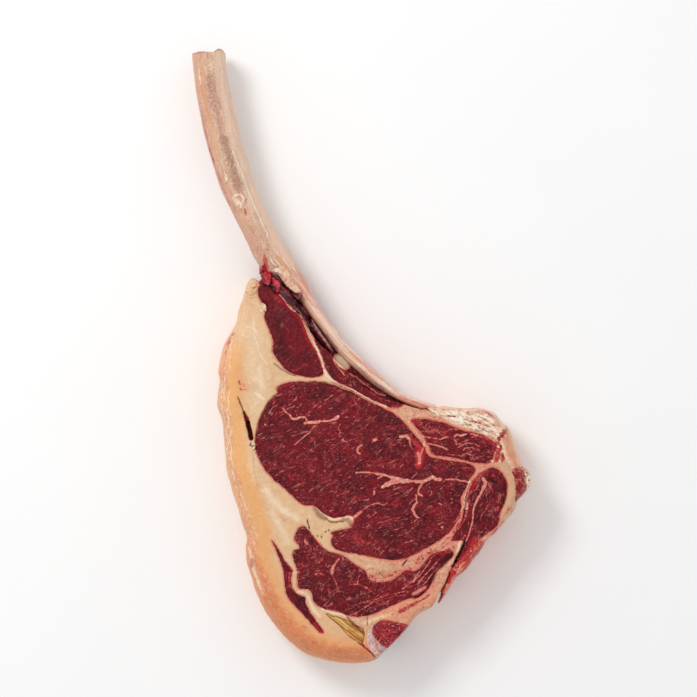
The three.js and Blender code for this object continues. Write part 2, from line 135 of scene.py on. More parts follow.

# %% [markdown]
# ## Outlines
#
# A butcher names the parts of this cut, and each has its own outline on the face. The
# points are given a few millimetres apart where the edge turns and wide apart where it
# runs straight. A centripetal curve goes through them, because it never overshoots or
# loops where two points stand close together.

# %% The edge of the whole steak: x, y, and how far in the crest of the face lies
STEAK_EDGE = [
    (-71.4, 51, 3), (-74.8, 46, 4), (-77.2, 38, 6), (-80, 30, 8),
    (-81.4, 22, 9), (-85.2, 15, 11), (-89.8, 7, 13), (-92.2, -1, 14),
    (-93.4, -9, 15), (-92.4, -17, 15), (-93.6, -26, 15), (-93.6, -33, 15),
    (-91, -41, 14), (-90, -50, 14), (-89, -63, 13), (-88, -73, 12),
    (-85, -85, 10), (-81.2, -98, 7), (-77.4, -110.5, 6), (-75, -118, 8),
    (-75.7, -126, 10), (-74.4, -135, 11), (-70.7, -148, 11), (-65.8, -161, 11),
    (-58.8, -172.3, 11), (-50, -183.3, 12), (-42, -190.3, 12), (-33.5, -195.3, 12),
    (-24, -198.4, 12), (-12, -200.1, 12), (0, -200.2, 11), (7, -199, 7),
    (10.9, -196.6, 3), (15, -192, 2), (19.2, -187.9, 2), (27, -180.1, 2),
    (31.4, -174.6, 3), (35.2, -169.8, 4), (40.5, -166, 4), (45.8, -164.2, 3),
    (48.5, -163.4, 2), (51.4, -160, 2.5), (55, -154.8, 3), (58.5, -149.4, 3),
    (61, -145, 3), (64.6, -142, 3), (68, -138.8, 3), (71.4, -134.6, 3),
    (75, -130, 4), (78.4, -125.6, 4), (80.8, -120.6, 4), (85.2, -116.6, 3),
    (90.4, -111, 3), (93.4, -107.9, 4), (98, -102.3, 5), (100.6, -98, 5),
    (101.6, -94.2, 5), (106, -90, 6), (109.5, -85.6, 7), (110.4, -81, 8),
    (109.5, -75.8, 8), (105.4, -72.4, 7), (103.3, -68.4, 7), (101, -62, 7),
    (98.5, -54.6, 7), (97, -49, 6), (95.2, -46, 5), (92.4, -44.6, 4),
    (89.8, -40.8, 4), (86.4, -37.3, 4), (82, -35.4, 4), (77, -34, 4),
    (71, -34.7, 4), (62, -34, 3), (53, -32.9, 3), (47.5, -33.6, 2),
    (35.2, -31, 1), (24.8, -26.7, 1), (14.2, -19, 1), (5.1, -11.5, 1),
    (-11.6, 4.4, 1), (-24.1, 20.3, 1), (-35.3, 36.6, 1), (-40.2, 44.6, 1),
    (-46.6, 51.4, 1),
    (-57, 54.2, 2), (-62, 53.2, 2), (-65, 50.6, 1), (-66, 48, 1),
    (-67.8, 48.8, 1), (-69.6, 50.3, 1),
]
print("points on the edge of the steak:", len(STEAK_EDGE))

# %% [markdown]
# ## Seven muscles
#
# From the big eye in the middle to the thin sliver in the outer fat. Each outline runs
# where the red of a muscle meets the fat round it.

# %% Outlines of the muscles
EYE_MUSCLE = [
    (-68.8, -57), (-67.5, -48), (-64.5, -38), (-60, -30), (-54.5, -23.2),
    (-55.2, -21), (-50.5, -18.2), (-46, -17), (-36, -16.8), (-26, -17.2),
    (-16, -19.8), (-5, -24.2), (5, -29.5), (13, -33.2), (19.5, -36.8),
    (25.5, -41), (31, -47.2), (36, -53), (40.5, -59), (43.5, -64.5),
    (52, -66.9), (63, -68.6), (71, -70.2), (73.8, -74), (70.5, -79),
    (67, -86), (64.2, -92.5), (64.6, -99), (61.5, -107.5), (57, -114),
    (49, -120), (38, -126.3), (28, -131), (18, -131.8), (8, -130.2),
    (-4, -128), (-13, -126.5), (-18.8, -123), (-19.2, -118.5), (-18.2, -116.6),
    (-19.6, -114.8), (-14, -112.9), (-7, -111.3), (-5, -108), (-6.5, -103.2),
    (-12, -103.6), (-18.5, -104.8), (-25, -101.8), (-30.5, -97.2), (-38.5, -96),
    (-46, -89), (-55, -81.5), (-62.5, -73.5), (-67.5, -64),
]
LIP_MUSCLE = [
    (-66, 45.8), (-67.3, 42), (-65.2, 35.8), (-61.2, 31.5), (-63, 26.8),
    (-60.3, 18.5), (-57.6, 11), (-57.2, 2), (-53, -4), (-48, -9.5),
    (-40, -12.6), (-30, -13.6), (-24.8, -11.5), (-25.5, -5.5), (-28.5, 1.5),
    (-33, 9.5), (-36.5, 17), (-40, 25.5), (-46, 30.5), (-52, 38),
    (-57.5, 43), (-61.5, 46),
]
INTERCOSTAL_MUSCLE = [
    (-66.6, 47), (-65.6, 51), (-60, 56), (-48, 56), (-34, 40), (-22, 24),
    (-8, 8), (8, -9), (20, -19), (30, -26), (27, -31.6), (21, -33.6),
    (13, -30.8), (4, -26.6), (-6, -21.6), (-17, -16.2), (-22.6, -9.6),
    (-24.6, -3), (-27.6, 4), (-31.8, 11.5), (-36, 22), (-42, 28.5),
    (-50, 37), (-58, 43.5),
]
CHINE_MUSCLE = [
    (32.4, -41.8), (35.5, -41), (45, -41.6), (54, -43.8), (65, -47.8),
    (76, -50.4), (83, -54), (87.6, -58.2), (86, -62.5), (83.2, -68.6),
    (76, -69.4), (66, -67.3), (55, -65), (46.5, -63.6), (43.2, -57.5),
    (39.6, -50.8), (35, -45.5),
]
SIDE_MUSCLE = [
    (85, -72.4), (90, -75), (93.4, -79.8), (94.2, -86), (92.8, -94),
    (90, -101), (89, -107), (86, -111.6), (80, -116.2), (74, -121),
    (69.5, -125.8), (65.5, -130.4), (60.6, -134.6), (63.4, -128.8),
    (65.4, -124), (66.6, -120.2), (62, -119.4), (58.6, -119.6),
    (60.5, -114.5), (63.5, -109), (66, -103), (67.2, -97), (68.6, -92),
    (69.4, -87.5), (72, -82.5), (76.5, -77.5), (80.5, -74),
]
CAP_MUSCLE = [
    (-38, -110), (-42, -113.5), (-43.2, -118.5), (-40, -124.6),
    (-43.6, -126.3), (-44.6, -130), (-42, -137), (-41.4, -145),
    (-40.6, -150.4), (-34, -151.6), (-31.8, -155), (-31, -159),
    (-24, -163.8), (-16, -165.2), (-9.5, -167.9), (0, -168.8),
    (9, -166.6), (20, -161.6), (30, -157.3), (37, -155.8), (43, -150.8),
    (46.3, -144.5), (48.5, -140), (55, -134), (59.5, -128.6),
    (57.6, -125.4), (51, -126.6), (44, -130), (39.5, -135.5),
    (34.5, -139.6), (28.5, -138.8), (21, -144.4), (12, -146.6),
    (5, -144.6), (2.8, -139.8), (-5, -134.4), (-12, -129.6),
    (-22, -126.3), (-28, -121.6), (-32.5, -115),
]
SLIVER_MUSCLE = [
    (-58, -119.6), (-55.6, -125), (-52, -134), (-50.2, -141),
    (-49.4, -150), (-47, -157), (-39.5, -165.6), (-31.4, -174.4),
    (-26, -179.4), (-25, -178.6), (-28.4, -173), (-32.8, -166.4),
    (-36, -160.4), (-36.3, -156), (-40.5, -155), (-44.4, -150.5),
    (-45.6, -145), (-45, -139), (-49.4, -133.6), (-53, -126.4),
]
print("points round the eye muscle:", len(EYE_MUSCLE))

# %% [markdown]
# ## Bones and small pieces
#
# Most of these reach the edge of the steak. There the outline runs on past the edge,
# and the edge of the block itself ends the piece.

# %% Outlines of the bones, the ligament and the small pieces
RIB_FAT = [
    (-18.6, -0.2), (-17.4, -4.2), (-13.6, -8), (-9, -8.8), (-6.6, -5),
    (-10, 0), (-13, 3), (-16.6, 1.6),
]
SIDE_FLAP = [
    (97, -108), (92, -118), (84, -130), (72, -146), (60, -160), (49, -170),
    (45.8, -166.4), (48.4, -161), (50.8, -156), (52.4, -152), (55.2, -146.4),
    (57.6, -139.6), (59.6, -135.8), (61.6, -133.4), (65.5, -131),
    (69.8, -126.6), (74.2, -122), (80, -117.2), (86, -112.6), (90, -107.4),
]
LIGAMENT = [
    (-23, -166.8), (-16, -168.8), (-9, -171), (-3, -175), (1.2, -176.6),
    (2.2, -179.5), (1.4, -184), (-0.4, -186.8), (-4, -184.6),
    (-9, -180.8), (-14.5, -174.6), (-19.5, -170.4),
]
BUTTON_BONE = [
    (6.9, -177.6), (7.6, -174.8), (11, -171.9), (16, -171.1), (23, -172.6),
    (28.6, -173.8), (34, -177), (30, -184), (21, -193), (16.4, -189.5),
    (13, -187.7), (9.6, -183.7), (7.2, -180.2),
]
CARTILAGE = [
    (8, -173.2), (4.8, -177), (3.4, -182.5), (4.8, -189), (8.6, -195),
    (12, -202), (24, -196), (18, -188), (12, -180), (9, -175),
]
CHINE_BONE = [
    (45.6, -36.6), (52, -39.6), (60, -44.2), (66, -46.6), (73, -48.9),
    (80, -50.6), (85.5, -53.6), (88.6, -57), (90.6, -61.5), (92.6, -66.8),
    (95.7, -71.8), (98.4, -77.4), (99.8, -84), (99.6, -90), (100.6, -96.6),
    (108, -98), (120, -86), (118, -70), (104, -40), (90, -28), (70, -26),
    (50, -26), (41, -30),
]
print("points round the backbone end:", len(CHINE_BONE))

# %% [markdown]
# ## The rib and the open places
#
# The rib and the recess beside it change in width along their length, so they are given
# by stations along a line. The two slits are plain outlines.

# %% The rib and the open places
# x, y, half width, height of the axis, half depth, from the sawn end to the backbone
RIB_STATIONS = [
    (-99.6, 198.2, 10.8, 24, 14.5), (-98.6, 186, 10.7, 24, 15),
    (-96, 170, 11, 24, 15), (-92.9, 155, 11.4, 24, 15.3),
    (-89.3, 140, 11.3, 24, 15.3), (-84.8, 124, 11.2, 24, 15),
    (-79.4, 108, 10.8, 24, 15), (-72.6, 93, 10.2, 24, 15),
    (-64.8, 77.5, 10.1, 24, 15.5), (-57, 64, 10.6, 24, 16),
    (-46.6, 51.4, 8, 24, 16), (-40.2, 44.6, 5.6, 24, 16),
    (-35.3, 36.6, 4.5, 24, 16), (-24.1, 20.3, 4.3, 24, 16),
    (-11.6, 4.4, 4.3, 24, 16.4), (5.1, -11.5, 4.1, 24, 16.6),
    (14.2, -19, 3.6, 24, 16.6), (24.8, -26.7, 3, 24, 16.4),
    (35.2, -31, 2.8, 24, 15.5), (47.5, -35, 3, 24, 14),
]
# x, y, width of the dark recess between the rib and the meat
RECESS = [
    (-57.5, 54, 4), (-50.5, 48.2, 7), (-42, 37.5, 8), (-36, 27.5, 7.5),
    (-28, 14.8, 7.5), (-20, 5, 6), (-12, -3, 6), (-3, -11.5, 6),
    (5, -19.2, 5.5), (15, -25.2, 4.5), (27, -29.8, 3), (37, -32.9, 2.6),
    (46.6, -36, 0.8),
]
FAT_SLIT = [
    (-79.6, -27.4), (-77, -35.4), (-74, -45), (-72.6, -54.4),
    (-70.7, -54.6), (-71, -47), (-73.6, -39.6), (-77, -32),
]
FLAP_GAP = [
    (66.8, -120.2), (64.3, -124.8), (62.2, -129), (58.8, -135.2), (57, -139.2),
    (54.6, -146), (51.3, -151.8), (49.4, -155.5), (47, -160.1), (44, -165.5),
    (42, -168), (46, -171), (47.6, -165), (49.8, -161), (52, -156.4),
    (53.4, -152.4), (56, -146.6), (58.4, -139.8), (60.6, -135.8), (64.2, -129.8),
    (66.2, -125), (67.2, -122),
]
print("stations of the rib:", len(RIB_STATIONS), "and of the recess:", len(RECESS))

# %% [markdown]
# ## Curves through the points
#
# One function turns all these lists into curves. The first two columns say where a
# curve runs, and any further column, such as a width, is carried along with them.

# %% Curves through the points
KNOT_DETAIL = 24            # places reckoned between two points before they are evened out
EDGE_STEP = 2.5
OUTLINE_STEP = 0.7


def smooth_curve(points, step, closed=True):
    """A centripetal curve through the points, cut into even steps of its first two columns."""
    knots = np.array(points, float)
    if not closed:
        first = 2 * knots[0] - knots[1]
        last = 2 * knots[-1] - knots[-2]
        knots = np.vstack([first, knots, last])
    count = len(knots)
    spans = range(count) if closed else range(1, count - 2)
    pieces = []
    for i in spans:
        p0, p1, p2, p3 = (knots[(i + k) % count] for k in (-1, 0, 1, 2))
        gaps = [max(np.linalg.norm((b - a)[:2]) ** 0.5, 1e-3) for a, b in ((p0, p1), (p1, p2), (p2, p3))]
        leave = ((p1 - p0) / gaps[0] - (p2 - p0) / (gaps[0] + gaps[1]) + (p2 - p1) / gaps[1]) * gaps[1]
        arrive = ((p2 - p1) / gaps[1] - (p3 - p1) / (gaps[1] + gaps[2]) + (p3 - p2) / gaps[2]) * gaps[1]
        t = np.linspace(0, 1, KNOT_DETAIL, endpoint=False)[:, None]
        pieces.append(
            (2 * t**3 - 3 * t**2 + 1) * p1 + (t**3 - 2 * t**2 + t) * leave
            + (3 * t**2 - 2 * t**3) * p2 + (t**3 - t**2) * arrive
        )
    pieces.append(knots[:1] if closed else knots[-2:-1])
    dense = np.vstack(pieces)
    lengths = np.concatenate([[0], np.cumsum(np.linalg.norm(np.diff(dense[:, :2], axis=0), axis=1))])
    steps = max(int(round(lengths[-1] / step)), 3)
    places = np.linspace(0, lengths[-1], steps + 1)
    if closed:
        places = places[:-1]
    return np.column_stack([np.interp(places, lengths, column) for column in dense.T])


def directions(line):
    """The way a line runs at each of its points, as x and y of length 1."""
    along = np.gradient(line[:, :2], axis=0)
    return along / np.linalg.norm(along, axis=1)[:, None]


edge_loop = smooth_curve(STEAK_EDGE, EDGE_STEP)
print("the edge of the steak:", len(edge_loop), "steps")

# %% [markdown]
# ## Mesh helpers
#
# Most bodies here are skinned over rings: one circle is made, extruded from ring to ring,
# and each copy is moved to where that ring belongs. A whole-number layer on the points
# remembers which side of the ring each one is, because an extrude hands them back in no
# set order.

# %% Mesh helpers
def as_object(bm, name):
    """A bmesh made into an object that sits at the origin."""
    mesh = bpy.data.meshes.new(name)
    bm.to_mesh(mesh)
    bm.free()
    piece = bpy.data.objects.new(name, mesh)
    scene.collection.objects.link(piece)
    return piece


def discard(piece):
    mesh = piece.data
    bpy.data.objects.remove(piece)
    bpy.data.meshes.remove(mesh)


def with_modifiers(piece):
    """Applies a piece's modifiers to its mesh."""
    graph = bpy.context.evaluated_depsgraph_get()
    mesh = bpy.data.meshes.new_from_object(piece.evaluated_get(graph), depsgraph=graph)
    piece.modifiers.clear()
    old = piece.data
    piece.data = mesh
    bpy.data.meshes.remove(old)
    return piece


def stack_rings(name, rings):
    """A closed body skinned over rings of the same number of points, in mm."""
    bm = bmesh.new()
    side_of = bm.verts.layers.int.new("side")
    verts = bmesh.ops.create_circle(bm, segments=len(rings[0]), radius=1)["verts"]
    for side, vert in enumerate(verts):
        vert[side_of] = side
    edges = list(bm.edges)
    foot = list(edges)
    for level, ring in enumerate(rings):
        if level:
            grown = bmesh.ops.extrude_edge_only(bm, edges=edges)["geom"]
            verts = [part for part in grown if isinstance(part, bmesh.types.BMVert)]
            fresh = set(verts)
            edges = [
                part for part in grown
                if isinstance(part, bmesh.types.BMEdge) and all(v in fresh for v in part.verts)
            ]
        for vert in verts:
            vert.co = Vector(ring[vert[side_of]]) * MM
    bmesh.ops.contextual_create(bm, geom=foot)
    bmesh.ops.contextual_create(bm, geom=edges)
    bmesh.ops.recalc_face_normals(bm, faces=bm.faces)
    return as_object(bm, name)


def prism(name, loop, low, high):
    """The body that stands on an outline between two heights."""
    flat = np.asarray(loop)[:, :2]
    return stack_rings(name, [np.column_stack([flat, np.full(len(flat), z)]) for z in (low, high)])


def combine(piece, tool, operation="DIFFERENCE"):
    """Cuts a piece with a tool, or keeps what both share, and throws the tool away."""
    cut = piece.modifiers.new("cut", "BOOLEAN")
    cut.operation = operation
    cut.solver = "MANIFOLD"
    cut.object = tool
    with_modifiers(piece)
    discard(tool)
    return piece


def even_skin(piece, size):
    """Covers a piece in even squares of a size in mm, which also rounds its sharp edges."""
    skin = piece.modifiers.new("even skin", "REMESH")
    skin.mode = "VOXEL"
    skin.voxel_size = size * MM
    return with_modifiers(piece)


def points_of(piece):
    """The points of a piece in mm, as rows."""
    flat = np.empty(len(piece.data.vertices) * 3, np.float32)
    piece.data.vertices.foreach_get("co", flat)
    return flat.reshape(-1, 3).astype(float) / MM


def normals_of(piece):
    flat = np.empty(len(piece.data.vertices) * 3, np.float32)
    piece.data.vertex_normals.foreach_get("vector", flat)
    return flat.reshape(-1, 3).astype(float)


def move_points(piece, points):
    piece.data.vertices.foreach_set("co", (points * MM).astype(np.float32).ravel())
    piece.data.update()


def ramp(value, low, high):
    """0 below low, 1 above high, and smooth between."""
    t = np.clip((value - low) / (high - low), 0, 1)
    return t * t * (3 - 2 * t)


def lumps(points, size, seed=0, octaves=2):
    """Smooth noise from about -1 to 1, whose lumps are about size mm across."""
    shift = Vector((seed * 7.1, seed * 3.7, seed * 5.3))
    scaled = np.asarray(points) / size
    return np.array([noise.fractal(Vector(p) + shift, 1.0, 2.0, octaves) for p in scaled])


print("halfway up a smooth ramp:", float(ramp(5, 0, 10)))


# %% [markdown]
# ## Ragged lines
#
# A knife and a saw leave soft tissue slightly ragged. One wandering field moves every
# outline and every painted seam sideways by up to half a millimetre, so neighbours that
# share an edge still meet.

# %% Wandering field
RAGGED = ((3.6, 0.42), (1.3, 0.22))     # size of the waves and how far they reach, mm


def wander(points):
    """How far, in x and y, the ragged field moves each point, in mm."""
    moved = np.zeros((len(points), 2))
    for size, reach in RAGGED:
        for row, (x, y) in enumerate(np.asarray(points)[:, :2] / size):
            drift = noise.noise_vector(Vector((x, y, size)))
            moved[row, 0] += drift.x * reach
            moved[row, 1] += drift.y * reach
    return moved


def ragged(outline):
    """A closed outline as a smooth curve with the ragged field on it."""
    loop = smooth_curve(outline, OUTLINE_STEP)[:, :2]
    return loop + wander(loop)


print("the field moves the first corner by, mm:", wander(edge_loop[:1]).round(2).tolist())


# %% [markdown]
# ## Distances on the face
#
# Seams, rims and grooves are all found by how far a point of the face lies from a line.
# The points are sorted by x once, so each stretch of a line only visits those near it.

# %% Distances on the face
class Face:
    """The points of a piece seen from above."""

    def __init__(self, points):
        self.order = np.argsort(points[:, 0])
        self.x = points[self.order, 0]
        self.y = points[self.order, 1]

    def distance(self, line, reach, closed=False):
        """Distance in mm to a line of points, no more than reach."""
        line = np.asarray(line, float)[:, :2]
        starts = line if len(line) == 1 or closed else line[:-1]
        ends = np.roll(line, -1, axis=0) if closed or len(line) == 1 else line[1:]
        found = np.full(len(self.x), float(reach))
        for a, b in zip(starts, ends):
            low = np.searchsorted(self.x, min(a[0], b[0]) - reach)
            high = np.searchsorted(self.x, max(a[0], b[0]) + reach)
            x = self.x[low:high] - a[0]
            y = self.y[low:high] - a[1]
            span = b - a
            share = np.clip((x * span[0] + y * span[1]) / max(span @ span, 1e-9), 0, 1)
            away = np.hypot(x - share * span[0], y - share * span[1])
            found[low:high] = np.minimum(found[low:high], away)
        unsorted = np.empty_like(found)
        unsorted[self.order] = found
        return unsorted

    def painted(self, strokes):
        """The strongest stroke at each point. A stroke is (width, softness, strength, line)."""
        value = np.zeros(len(self.x))
        for width, soft, strength, line in strokes:
            reach = width / 2 + soft
            away = self.distance(line, reach)
            value = np.maximum(value, strength * (1 - ramp(away, width / 2 - soft, reach)))
        return value


middle = Face(np.array([[0.0, -80.0, 0.0]]))
print("from the middle to the edge, mm:", middle.distance(edge_loop, 200, closed=True).round(1))


# %% [markdown]
# ## The rib
#
# The rib is a boxy oval in section, 22 mm across and 30 mm deep where it is bare, and it
# thins towards the backbone. It could be a curve with a bevel, but its width and its
# depth change apart from each other, so it is skinned over rings along its axis. The saw
# left the end uneven: the teeth below say how far each part of the end stands out.

# %% The rib's shape
RIB_SQUARENESS = 2.5
RIB_SIDES = 96
RIB_STEP = 1.6
SAWN_END = [(-10.9, -0.3), (-4.4, -0.3), (2.6, -1.2), (4.6, -0.1), (6.6, 1.3), (8.6, 0.6), (11.1, -1.8)]
SAWN_REACH = 7                 # how far down the rib the unevenness of the end is felt
END_RINGS = (0.93, 0.82, 0.62, 0.4, 0.15)

rib_line = smooth_curve(RIB_STATIONS, RIB_STEP, closed=False)
rib_run = np.concatenate([[0], np.cumsum(np.linalg.norm(np.diff(rib_line[:, :2], axis=0), axis=1))])


def rib_rings(grow=0.0, sides=RIB_SIDES):
    """The rings of the rib from its sawn end to the backbone, with caps of smaller rings."""
    along = directions(rib_line)
    angle = 2 * np.pi * np.arange(sides) / sides
    power = 2 / RIB_SQUARENESS
    across = np.sign(np.cos(angle)) * np.abs(np.cos(angle)) ** power
    up = np.sign(np.sin(angle)) * np.abs(np.sin(angle)) ** power

    def ring(i, size=1.0, push=0.0):
        x, y, half_width, height, half_depth = rib_line[i]
        tangent = along[i]
        teeth = np.interp(across * size * half_width, *zip(*SAWN_END))
        shift = -teeth * max(0, 1 - rib_run[i] / SAWN_REACH) + push
        wide = across * size * (half_width + grow)
        return np.column_stack([
            x - wide * tangent[1] + tangent[0] * shift,
            y + wide * tangent[0] + tangent[1] * shift,
            height + up * size * (half_depth + grow),
        ])

    last = len(rib_line) - 1
    sawn = [ring(0, size, -grow) for size in reversed(END_RINGS)]
    buried = [ring(last, size, grow) for size in END_RINGS]
    return sawn + [ring(i) for i in range(last + 1)] + buried


print("length of the rib along its curve, mm:", round(rib_run[-1]))

# %% [markdown]
# ## The block of meat
#
# The steak is first one block. Its edge bulges at mid height, pulls in a little at the
# table, and rolls over to the upper face, widely on the fat side and sharply at the
# bones. The recess, the slits and the rib's own room are cut out of it, and then an even
# skin goes over all of it. That skin rounds the cut edges as soft tissue does, and its
# small squares let the face be moved and painted point by point.

# %% The block of meat
THICKNESS = 48
WIDEST_SHARE = 0.42
BOTTOM_INSET = 5
HEIGHT_SHARES = (0, 0.02, 0.06, 0.12, 0.2, 0.3, 0.42, 0.54, 0.64, 0.72, 0.79, 0.85, 0.9, 0.94, 0.97, 0.99, 1)
STEAK_CENTRE = np.array([0, -80])
RECESS_FLOOR = 31.5
SLIT_FLOOR = 42.5
BELOW, ABOVE = -10, 70
RIB_ROOM = 0.15
ROOM_SIDES = 48
BAND_STEP = 0.8
SKIN_SIZE = 1.05


def edge_inset(share, crest):
    """How far in from its widest line the edge lies at a share of the height."""
    if share < WIDEST_SHARE:
        return BOTTOM_INSET * (1 - math.sqrt(1 - (1 - share / WIDEST_SHARE) ** 2))
    up = (share - WIDEST_SHARE) / (1 - WIDEST_SHARE)
    return crest * (1 - math.sqrt(1 - up**2))


def block_ring(share):
    outward = edge_loop[:, :2] - STEAK_CENTRE
    length = np.linalg.norm(outward, axis=1)
    kept = (length - edge_inset(share, edge_loop[:, 2])) / length
    flat = STEAK_CENTRE + outward * kept[:, None]
    return np.column_stack([flat, np.full(len(flat), share * THICKNESS)])


def band(stations):
    """The outline of a band of changing width along a line: x, y, width."""
    line = smooth_curve(stations, BAND_STEP, closed=False)
    along = directions(line)
    side = np.column_stack([-along[:, 1], along[:, 0]]) * line[:, 2:3] / 2
    return np.vstack([line[:, :2] + side, (line[:, :2] - side)[::-1]])


block = stack_rings("block", [block_ring(share) for share in HEIGHT_SHARES])
combine(block, prism("recess", band(RECESS), RECESS_FLOOR, ABOVE))
combine(block, prism("slit", smooth_curve(FAT_SLIT, OUTLINE_STEP), SLIT_FLOOR, ABOVE))
combine(block, prism("gap", smooth_curve(FLAP_GAP, OUTLINE_STEP), BELOW, ABOVE))
combine(block, stack_rings("rib room", rib_rings(RIB_ROOM, ROOM_SIDES)))
even_skin(block, SKIN_SIZE)
print("block:", len(block.data.vertices), "points")

# %% [markdown]
# The upper face is what the eye reads, so its squares are halved once more. The sides
# and the lower face keep the coarser skin.

# %% Finer squares on the upper face
FACE_FROM = 30
FACE_SLOPE = 0.35

bm = bmesh.new()
bm.from_mesh(block.data)
upper = [f for f in bm.faces if f.normal.z > FACE_SLOPE and f.calc_center_median().z > FACE_FROM * MM]
upper_edges = list({edge for face in upper for edge in face.edges})
bmesh.ops.subdivide_edges(bm, edges=upper_edges, cuts=1, use_grid_fill=True)
loose = [edge for edge in bm.edges if not edge.is_manifold]
print("after halving:", len(bm.verts), "points,", len(loose), "open edges")
bm.to_mesh(block.data)
bm.free()

# %% [markdown]
# ## The lie of the face
#
# The face isn't flat. It waves a little, it thins towards the neck where the meat meets
# the bare bone, and it dips beside the rib. A shallow groove runs along every line where
# two tissues meet, because fat and muscle shrink by different amounts once they are cut.
# On the sides the outer fat is lumpy. All of it is a move of points, so it is true shape
# and shows in the outline.

# %% The lie of the face
WAVE_DEPTH, WAVE_ACROSS, WAVE_ALONG, WAVE_SHIFT = 1.2, 15, 19, 0.4
NECK_DROP, NECK_RANGE = 4, (12, 46)             # mm, and from where to where in y
RIB_DROP, RIB_RANGE, RIB_END = 5, (6, 15), (18, 44)     # distance from the axis, and where it ends in x
GROOVE_DEPTH, GROOVE_REACH, GROOVE_LEVELS = 0.42, 1.6, (38, 44)
FACE_LEVELS = (24, 46)                          # the moves of the face fade in between these heights
FOOT_LEVELS = (1, 6)                            # and the lumps of the sides between these
TURNED_UP = (0.3, 0.9)
SIDE_LUMPS = ((0.55, 11, 1), (0.3, 3.5, 2))     # height and size in mm, and seed
OUTLINES = {
    "eye_muscle": EYE_MUSCLE, "lip_muscle": LIP_MUSCLE, "intercostal_muscle": INTERCOSTAL_MUSCLE,
    "chine_muscle": CHINE_MUSCLE, "side_muscle": SIDE_MUSCLE, "cap_muscle": CAP_MUSCLE,
    "sliver_muscle": SLIVER_MUSCLE, "rib_fat": RIB_FAT, "side_flap": SIDE_FLAP,
    "ligament": LIGAMENT, "button_bone": BUTTON_BONE, "cartilage": CARTILAGE,
    "chine_bone": CHINE_BONE,
}
LOOPS = {name: ragged(outline) for name, outline in OUTLINES.items()}

points = points_of(block)
normals = normals_of(block)
face = Face(points)
x, y, z = points.T
wave = 0.5 - 0.5 * np.sin(x / WAVE_ACROSS + WAVE_SHIFT) * np.cos(y / WAVE_ALONG)
neck = NECK_DROP * ramp(y, *NECK_RANGE)
beside = 1 - ramp(face.distance(rib_line, RIB_RANGE[1]), *RIB_RANGE)
drop = WAVE_DEPTH * wave + neck + RIB_DROP * beside * (1 - ramp(x, *RIB_END))

groove = np.full(len(points), GROOVE_REACH)
for loop in LOOPS.values():
    groove = np.minimum(groove, face.distance(loop, GROOVE_REACH, closed=True))
groove_cut = GROOVE_DEPTH * (1 - ramp(groove, 0, GROOVE_REACH))

upper = ramp(z, *FACE_LEVELS)
side = ramp(z, *FOOT_LEVELS) * (1 - ramp(normals[:, 2], *TURNED_UP))
bumps = sum(height * lumps(points, size, seed=seed) for height, size, seed in SIDE_LUMPS)
points += normals * (bumps * side)[:, None]
points[:, 2] -= drop * upper + groove_cut * ramp(z, *GROOVE_LEVELS)
points[:, 2] = np.maximum(points[:, 2], 0)
move_points(block, points)
print("face heights, mm:", round(points[:, 2].max(), 1), "down to", round(THICKNESS - drop.max(), 1))

# %% [markdown]
# ## Parting the block
#
# Each muscle and bone is what the block shares with a prism on its outline, and the fat
# is what is left when all the prisms are taken out. The same prism is used for both
# cuts, so no gap opens between a muscle and its fat.

# %% Parting the block
def copy_of(piece, name):
    twin = bpy.data.objects.new(name, piece.data.copy())
    scene.collection.objects.link(twin)
    return twin


def largest_shell(piece):
    """Keeps the largest connected body of a piece."""
    bm = bmesh.new()
    bm.from_mesh(piece.data)
    waiting = set(bm.verts)
    shells = []
    while waiting:
        shell = set()
        front = [waiting.pop()]
        while front:
            vert = front.pop()
            shell.add(vert)
            for edge in vert.link_edges:
                other = edge.other_vert(vert)
                if other in waiting:
                    waiting.discard(other)
                    front.append(other)
        shells.append(shell)
    shells.sort(key=len)
    scraps = [vert for shell in shells[:-1] for vert in shell]
    bmesh.ops.delete(bm, geom=scraps, context="VERTS")
    bm.to_mesh(piece.data)
    bm.free()
    return piece


# What is taken from a piece besides its own outline.
GIVES_WAY = {"side_muscle": ["side_flap"], "cartilage": ["button_bone"],
             "intercostal_muscle": ["lip_muscle", "rib_fat", "chine_bone"]}

pieces = {}
for name, loop in LOOPS.items():
    piece = combine(copy_of(block, name + " cut"), prism("tool", loop, BELOW, ABOVE), "INTERSECT")
    for other in GIVES_WAY.get(name, []):
        combine(piece, prism("tool", LOOPS[other], BELOW, ABOVE))
    pieces[name] = largest_shell(piece)
for loop in LOOPS.values():
    combine(block, prism("tool", loop, BELOW, ABOVE))
block.name = "fat cut"
pieces["fat_body"] = largest_shell(block)
for name, piece in pieces.items():
    piece.data.calc_loop_triangles()
    print(f"{name:20} {len(piece.data.loop_triangles):7} triangles")
